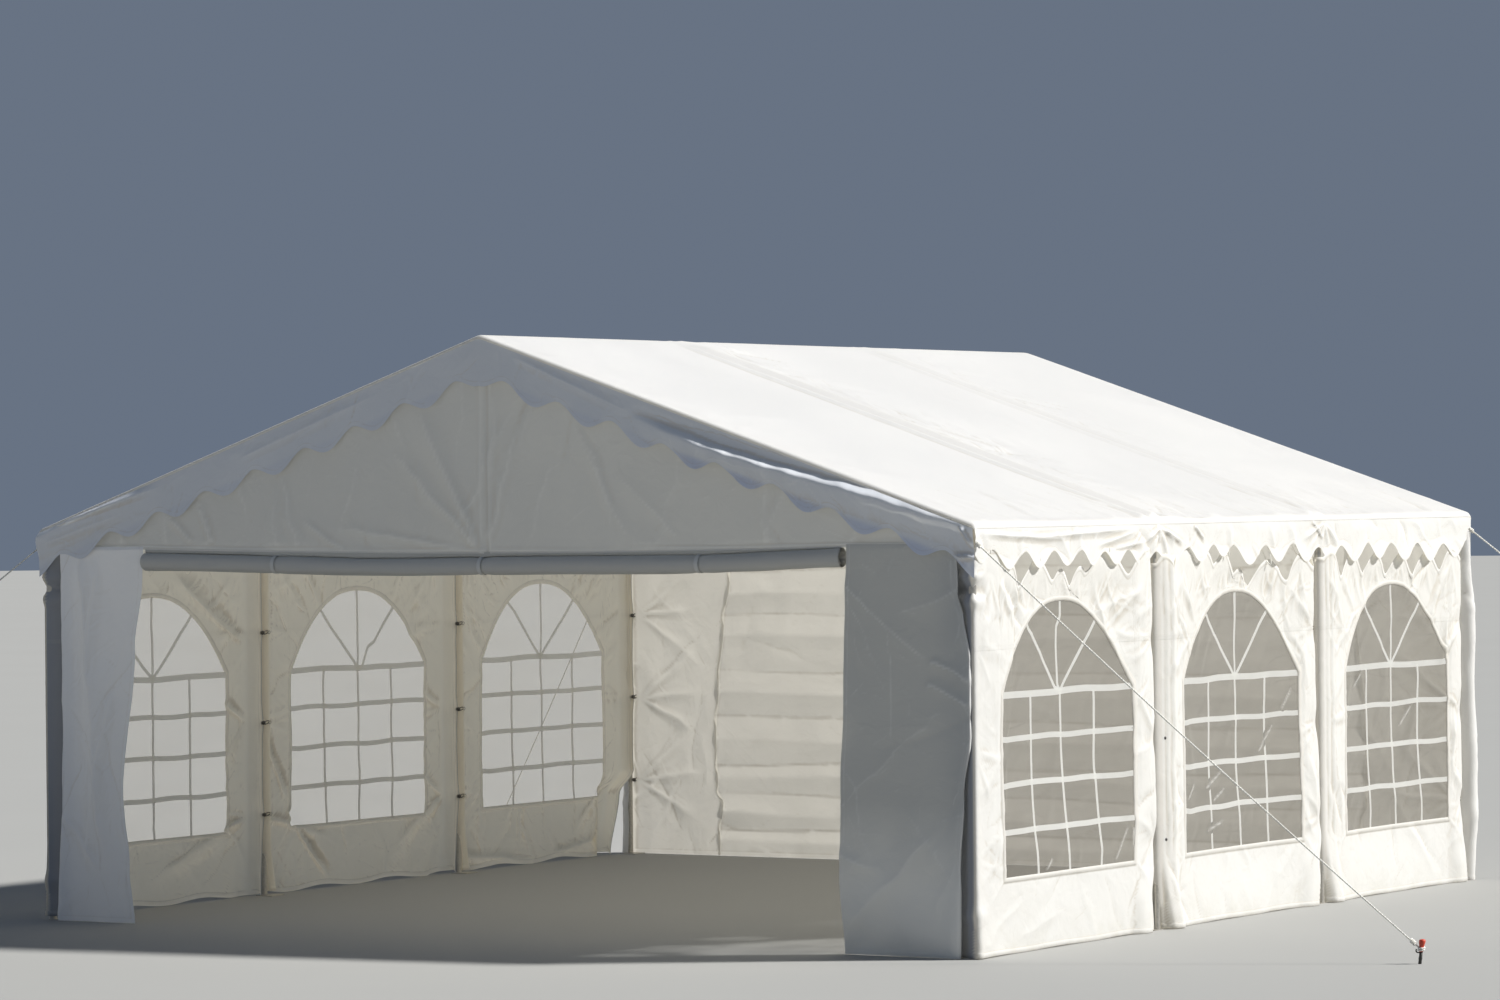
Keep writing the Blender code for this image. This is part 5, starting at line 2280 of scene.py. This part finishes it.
@dataclass
class Stays:
    """The guy ropes and their pegs."""

    radius: float = 0.0048
    hitch: float = 0.070  # height of the loop round the peg
    grip: float = 0.015  # that loop's radius
    knot: float = 0.011
    sag: float = 0.02
    lean: Vector = field(default_factory=lambda: Vector((0.10, 0.06, 1.0)))

    def _build_one(self, end: str, side: str) -> None:
        """One rope, knotted at both ends, and its peg.

        Args:
            end: front or rear.
            side: left or right.
        """
        rope, peg = f"guy_rope_{end}_{side}", f"peg_{end}_{side}"
        low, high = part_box(rope)
        peg_low, peg_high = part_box(peg)
        foot = (peg_low + peg_high) / 2
        x = 1.0 if side == "right" else -1.0
        start = Vector((x * HALF, (high.y if foot.y < (low.y + high.y) / 2 else low.y), high.z - self.radius))
        stop = Vector((foot.x, foot.y, 0.0)) + self.lean * self.hitch
        way = (stop - start).normalized()
        shares = np.linspace(0.0, 1.0, 40)
        line = [start + way * (0.006 + share * ((stop - start).length - 0.02)) for share in shares]
        drops = [Vector((0, 0, self.sag * math.sin(math.pi * share))) for share in shares]
        line = [point - drop for point, drop in zip(line, drops)]
        values = {"Radius": self.radius, "Lay": 0.05, "Step": 0.0085, "Sides": 5}
        add_cords(rope + "_twisted", ROPE, [line], values, 3, [rope])
        loops = [self._knot(start + way * 0.012, way), self._knot(stop - way * 0.055, way)]
        for lift in (0.0, 0.009):
            across, along = Vector((self.grip, 0, 0)), Vector((0, self.grip, 0.002))
            loops.append(ring(stop + self.lean * lift, across, along))
        values = {"Radius": self.radius, "Lay": 0.03, "Step": 0.004, "Sides": 5}
        add_cords(rope + "_knots", ROPE, loops, values, 3)
        self._peg(peg, foot)

    def _knot(self, place: Vector, way: Vector) -> list[Spot]:
        """A line that winds round the rope a few times.

        Args:
            place: its middle.
            way: the rope's way.

        Returns:
            The line.
        """
        side = way.cross(Vector((0, 0, 1))).normalized()
        over = side.cross(way)
        made = []
        for step in range(43):
            turn = 2 * math.pi * step / 14
            off = self.knot * 0.78 * (side * math.cos(turn) + over * math.sin(turn))
            made.append(tuple(place + way * (0.0105 * step / 14 - 0.016) + off))
        return made

    def _turned(self, profile: Sequence[Point], place: Vector, sides: int) -> bpy.types.Mesh:
        """A profile of radius and height, turned about the peg's leaning line.

        Args:
            profile: radii and heights.
            place: the peg's foot.
            sides: how many sides it gets.

        Returns:
            The mesh.
        """
        bm = bmesh.new()
        rings = []
        for radius, height in profile:
            middle = Vector((place.x, place.y, 0.0)) + self.lean * height
            around = ring(middle, Vector((radius, 0, 0)), Vector((0, radius, 0)), sides)[:-1]
            rings.append([bm.verts.new(point) for point in around])
        for lower, upper in zip(rings, rings[1:]):
            for step in range(sides):
                after = (step + 1) % sides
                bm.faces.new((lower[step], lower[after], upper[after], upper[step]))
        bm.faces.new(rings[-1])
        bm.faces.new(rings[0][::-1])
        for face in bm.faces:
            face.smooth = True
        mesh = bpy.data.meshes.new("turned")
        bm.to_mesh(mesh)
        bm.free()
        return mesh

    def _peg(self, name: str, foot: Vector) -> None:
        """A black ribbed peg with a hook and a red moulded head.

        Args:
            name: the peg's name.
            foot: where it is.
        """
        shaft = [(0.0085, 0.0), (0.0085, 0.02), (0.0095, 0.024)]
        shaft += [(0.0095, 0.03), (0.0085, 0.034), (0.0085, 0.066)]
        add_piece(name + "_shaft", self._turned(shaft, foot, 20), PEG_BLACK, [name])
        head = [(0.0088, 0.060), (0.0105, 0.062), (0.011, 0.07), (0.0115, 0.082), (0.0135, 0.093)]
        head += [(0.016, 0.103), (0.0168, 0.111), (0.016, 0.1165), (0.0125, 0.120), (0.006, 0.1215)]
        add_piece(name + "_head", self._turned(head, foot, 24), PEG_RED)
        base = Vector((foot.x, foot.y, 0.0))
        hook = [(-0.006, 0.056), (-0.017, 0.056), (-0.024, 0.060), (-0.026, 0.068), (-0.024, 0.073)]
        line = [base + self.lean * height + Vector((out * 0.88, out * 0.47, 0.0)) for out, height in hook]
        values = {"Radius": 0.0034, "Lay": 1.0, "Step": 0.003, "Sides": 10}
        add_cords(name + "_hook", PEG_BLACK, [line], values)

    def build(self) -> None:
        """Makes the four stays."""
        for end in ("front", "rear"):
            for side in ("left", "right"):
                self._build_one(end, side)


def side_walls() -> list[SideWall]:
    """The six wall panels of the two sides.

    Returns:
        The panels, from the front, the right side first.
    """
    first = SideWall(Face.RIGHT, 0, 30, bow=-0.050, low_bow=0.0)
    first.valleys = (
        (-3.02, 2.04), (-2.62, 1.96), (-2.49, 1.86), (-2.105, 1.885), (-1.92, 1.85), (-1.77, 1.92),
        (-1.325, 1.9), (-1.0, 1.93),
    )
    first.corner_drift = (
        (0.0, -0.05), (0.16, -0.03), (0.35, 0.03), (0.58, 0.075), (0.94, 0.06), (1.5, 0.045), (2.0, 0.03),
    )
    first.bent_spokes = (
        ((-0.06, 1.328), (-0.30, 1.577), (-0.36, 1.641)), ((-0.03, 1.34), (-0.04, 1.642), (0.0, 1.694)),
    )
    first.streaks = (
        (-0.267, 0.399, -0.179, 0.466), (0.489, 0.397, 0.653, 0.591), (0.675, 0.568, 0.684, 0.438),
    )

    second = SideWall(Face.RIGHT, 1, 31, bow=-0.050, low_bow=0.5, column=0.038)
    second.valleys = (
        (-1.03, 1.95), (-0.87, 1.925), (-0.51, 1.94), (-0.30, 1.935), (-0.036, 1.88), (0.124, 1.795),
        (0.575, 1.83), (0.88, 1.9), (1.0, 1.9),
    )
    second.corner_drift = ((0.0, -0.03), (0.2, 0.01), (0.4, 0.07), (0.76, 0.045), (1.33, 0.012), (2.0, 0.0))
    second.streaks = (
        (0.258, 0.883, 0.452, 1.049), (0.513, 1.105, 0.637, 1.238), (-0.656, 0.67, -0.542, 0.766),
        (-0.407, 0.718, -0.176, 0.81), (-0.317, 0.651, -0.155, 0.715), (-0.412, 0.491, -0.181, 0.54),
    )
    second.folds = folded(
        (-0.99, 0.38, -0.62, -0.02, 0.04, -0.026, 0.02, 0.1),
        (-0.93, 0.30, -0.86, 0.0, 0.025, 0.016, 0.02, 0.1),
    )

    third = SideWall(Face.RIGHT, 2, 32, bow=-0.050, low_bow=0.5, column=0.018)
    third.valleys = (
        (1.0, 1.95), (1.24, 1.84), (1.59, 1.85), (1.92, 1.84), (2.26, 1.83), (2.61, 1.85), (2.9, 1.9),
    )
    third.corner_drift = ((0.0, -0.03), (2.0, -0.012))
    third.folds = folded((1.02, 0.24, 1.2, 0.0, 0.03, -0.018, 0.02, 0.1))
    third.streaks = ((0.1, 0.95, 0.29, 1.08), (-0.55, 1.2, -0.4, 1.29))

    fourth = SideWall(Face.LEFT, 0, 40, bow=0.010)
    fourth.folds = folded(
        (-1.10, 1.03, -1.36, 1.17, 0.03, 0.020, 0.1, 0.3),
        (-1.12, 1.03, -1.34, 0.72, 0.03, 0.028, 0.1, 0.3), (-1.12, 1.5, -1.9, 2.0, 0.04, 0.045, 0.1),
        (-1.12, 0.47, -2.1, 0.12, 0.04, 0.042, 0.08), (-2.55, 0.40, -2.65, 0.05, 0.03, 0.026, 0.08),
    )

    fifth = SideWall(Face.LEFT, 1, 41, bow=0.010)
    fifth.bent_spokes = ((), (), ((0.05, 1.31), (0.11, 1.43), (0.18, 1.46)))
    fifth.folds = folded(
        (0.88, 1.03, 0.66, 1.16, 0.03, 0.020, 0.1, 0.3), (0.88, 0.49, 0.66, 0.66, 0.035, 0.024, 0.08, 0.3),
        (0.88, 0.49, 0.30, 0.16, 0.035, 0.03, 0.08), (-0.95, 1.0, -0.72, 0.53, 0.03, 0.034, 0.05, 0.05),
        (-0.72, 0.50, -0.28, 0.03, 0.035, 0.045, 0.04, 0.05), (-0.93, 0.46, -0.3, 0.30, 0.03, 0.034, 0.06),
    )

    sixth = SideWall(Face.LEFT, 2, 42, bow=0.02, loose=True)
    sixth.corner_drift = ((0.0, -0.25), (0.4, -0.17), (0.55, 0.0), (2.0, 0.0))
    sixth.folds = folded(
        (1.05, 0.1, 1.9, 0.02, 0.05, 0.03, 0.05), (2.1, 0.05, 2.7, 0.12, 0.05, 0.03, 0.05),
        (1.75, 0.38, 1.7, 0.05, 0.04, 0.02, 0.05), (2.75, 0.5, 2.3, 0.12, 0.03, 0.03, 0.08),
    )
    return [first, second, third, fourth, fifth, sixth]


def build_ends() -> None:
    """The front and rear end walls with their doors."""
    front_folds = folded(
        (-0.02, 2.05, -0.46, 2.90, 0.035, 0.022, 0.16, 0.1),
        (-0.03, 2.06, -0.62, 2.62, 0.03, 0.014, 0.12, 0.1),
        (-0.03, 2.05, -1.1, 2.2, 0.02, 0.010, 0.06, 0.1), (0.03, 2.07, 0.09, 2.95, 0.025, 0.012, 0.04, 0.1),
        (0.04, 2.07, 0.24, 2.8, 0.03, 0.010, 0.08, 0.1), (0.95, 2.08, 0.5, 2.84, 0.05, 0.008, 0.12, 0.2),
        (1.25, 2.10, 0.78, 2.5, 0.05, 0.007, 0.12, 0.2), (-1.8, 2.10, -1.9, 2.36, 0.03, 0.014, 0.12, 0.1),
        (-1.92, 2.10, -2.12, 2.27, 0.03, 0.012, 0.1, 0.1), (-0.9, 2.06, -1.2, 2.22, 0.03, 0.010, 0.1, 0.1),
    )
    for face, folds, seed in ((Face.FRONT, front_folds, 51), (Face.REAR, front_folds[1::2], 52)):
        end = face.value
        name = f"{end}_gable_cloth"
        node = ("front_gable_panel",) if face is Face.FRONT else ("rear_end_wall",)
        plan = [(-2.978, GABLE), (-1.5, GABLE), (0.0, GABLE), (1.5, GABLE), (2.978, GABLE)]
        creases = Creases(seed, 0.008, facet=0.010, facet_size=0.36, way=88.0, spread=28.0, folds=folds)
        step, rise = (0.019, 0.017) if face is Face.FRONT else (0.024, 0.020)
        panel = GablePanel(name, face, plan, 0.0, creases, node, (f"gable_valance_{end}_skirt",), step, rise)
        panel.finish = SHADED_GABLE_CLOTH
        panel.build()
        for side, way in (("left", -1.0), ("right", 1.0)):
            build_flap(face, side, way, seed + 10 + int(way))
    plan = [(-2.268, WALL), (-1.0, WALL), (0.0, WALL), (1.0, WALL), (2.268, WALL)]
    creases = Creases(61, swell=0.010, way=20.0)
    door = ClosedDoor("rear_door_cloth", Face.REAR, plan, 0.0, creases, ("rear_door",), ("rear_gable_cloth",))
    door.step, door.rise, door.seam, door.finish = 0.028, 0.014, REAR_SEAM, REAR_CLOTH
    door.build()
    DoorRoll().build()


def flap_folds(face: Face, way: float) -> list[Fold]:
    """The folds of the strip beside a doorway.

    Args:
        face: the end wall.
        way: -1 for the left strip and 1 for the right one.

    Returns:
        The folds.
    """
    if face is Face.REAR:
        made = []
        for height in TIE_HEIGHTS:
            angles = (142, 175, 210) if way > 0 else (38, 5, -30)
            made += fan((way * 2.9, height), angles, 0.55, 0.012, int(height * 100))
        return made
    if way > 0:
        return folded(
            (2.25, 1.92, 2.8, 1.4, 0.09, 0.009, 0.08), (2.32, 0.12, 2.78, 0.68, 0.09, 0.016, 0.1),
            (2.2, 0.53, 2.52, 0.43, 0.06, 0.010, 0.1), (2.525, 1.66, 2.54, 0.85, 0.012, 0.002, 0.0),
            (2.7, 1.5, 2.92, 1.36, 0.05, 0.011, 0.1), (2.68, 1.38, 2.92, 1.25, 0.05, 0.009, 0.1),
            (2.9, 1.85, 2.5, 1.7, 0.08, 0.005, 0.1), (2.85, 0.35, 2.55, 0.8, 0.08, 0.005, 0.1),
        )
    return folded(
        (-2.73, 2.1, -2.5, 0.1, 0.20, 0.045, 0.0), (-2.6, 2.0, -2.72, 0.9, 0.05, 0.010, 0.06),
        (-2.45, 1.3, -2.75, 0.2, 0.06, 0.012, 0.06), (-2.9, 0.6, -2.5, 0.2, 0.04, 0.010, 0.1),
    )


def build_valances() -> None:
    """The four skirts of the cover."""
    eave = Valance("eave_valance_right", Face.RIGHT, False, 81)
    eave.notches = (
        (-3.02, 0.14), (-2.80, 0.127), (-2.46, 0.141), (-2.15, 0.142), (-1.87, 0.143), (-1.60, 0.155),
        (-1.34, 0.149), (-1.04, 0.164), (-0.65, 0.145), (-0.35, 0.137), (-0.12, 0.14), (0.277, 0.149),
        (0.62, 0.143), (0.95, 0.17), (1.24, 0.165), (1.59, 0.153), (1.905, 0.159), (2.262, 0.164),
        (2.627, 0.174), (2.96, 0.15), (3.3, 0.15),
    )
    eave.folds = folded(
        (-2.96, 0.045, -2.0, 0.085, 0.03, 0.011, 0.01, 0.3),
        (-2.5, 0.075, -1.2, 0.035, 0.03, 0.011, 0.01, 0.4),
        (-1.72, 0.13, -1.25, 0.05, 0.025, 0.010, 0.03, 0.4),
        (-1.55, 0.15, -1.1, 0.1, 0.025, 0.010, 0.03, 0.4),
        (-1.35, 0.16, -1.2, 0.05, 0.02, 0.010, 0.03, 0.4), (-1.02, 0.02, -1.0, 0.12, 0.02, 0.018, 0.0),
        (-0.95, 0.05, -0.7, 0.13, 0.02, 0.016, 0.03), (-0.6, 0.03, -0.45, 0.12, 0.02, 0.014, 0.03),
        (0.85, 0.02, 1.0, 0.13, 0.015, 0.014, 0.0),
    )
    eave.folds += fan((1.0, 0.03), (-150, -115, -80, -45, -20), -0.24, 0.012, 5)
    eave.folds += fan((-1.0, 0.03), (-155, -120, -60, -25), -0.26, 0.013, 6)
    eave.build()
    Valance("eave_valance_left", Face.LEFT, False, 82).build()
    gable = Valance("gable_valance_front", Face.FRONT, True, 83, notch=0.19, lobe=0.078)
    gable.folds = folded(
        (2.93, 0.03, 2.99, 0.12, 0.02, 0.03, 0.0), (2.99, 0.16, 2.88, 0.20, 0.02, 0.03, 0.05),
        (-2.9, 0.02, -2.1, 0.065, 0.022, 0.018, 0.02), (-2.95, 0.1, -2.4, 0.12, 0.03, 0.008, 0.02),
        (-1.6, 0.1, -0.6, 0.08, 0.04, 0.008, 0.02), (0.2, 0.05, 1.0, 0.11, 0.04, 0.008, 0.02),
    )
    gable.ledge = (
        (-3.0, 0.05, 0.030), (-2.72, 0.04, 0.034), (-2.36, 0.035, 0.022), (-2.1, 0.05, 0.0),
        (0.95, 0.135, 0.0), (1.22, 0.130, 0.050), (1.6, 0.118, 0.060), (2.08, 0.082, 0.050),
        (2.43, 0.052, 0.042), (2.76, 0.04, 0.036), (3.0, 0.02, 0.02),
    )
    gable.build()
    Valance("gable_valance_rear", Face.REAR, True, 84, notch=0.19, lobe=0.078).build()


def main() -> None:
    """Builds the tent and the studio round it."""
    logging.basicConfig(level=logging.INFO, format="%(name)s %(message)s")
    Studio().build()
    Stays().build()
    RoofCover().build()
    build_valances()
    ties = Ties()
    for wall in side_walls():
        wall.build()
        for place, top in wall.tongues():
            ties.hang(1.0 if wall.face is Face.RIGHT else -1.0, place, top)
    build_ends()
    Frame().build()
    ties.build()
    bpy.context.view_layer.update()


if __name__ == "__main__":
    main()
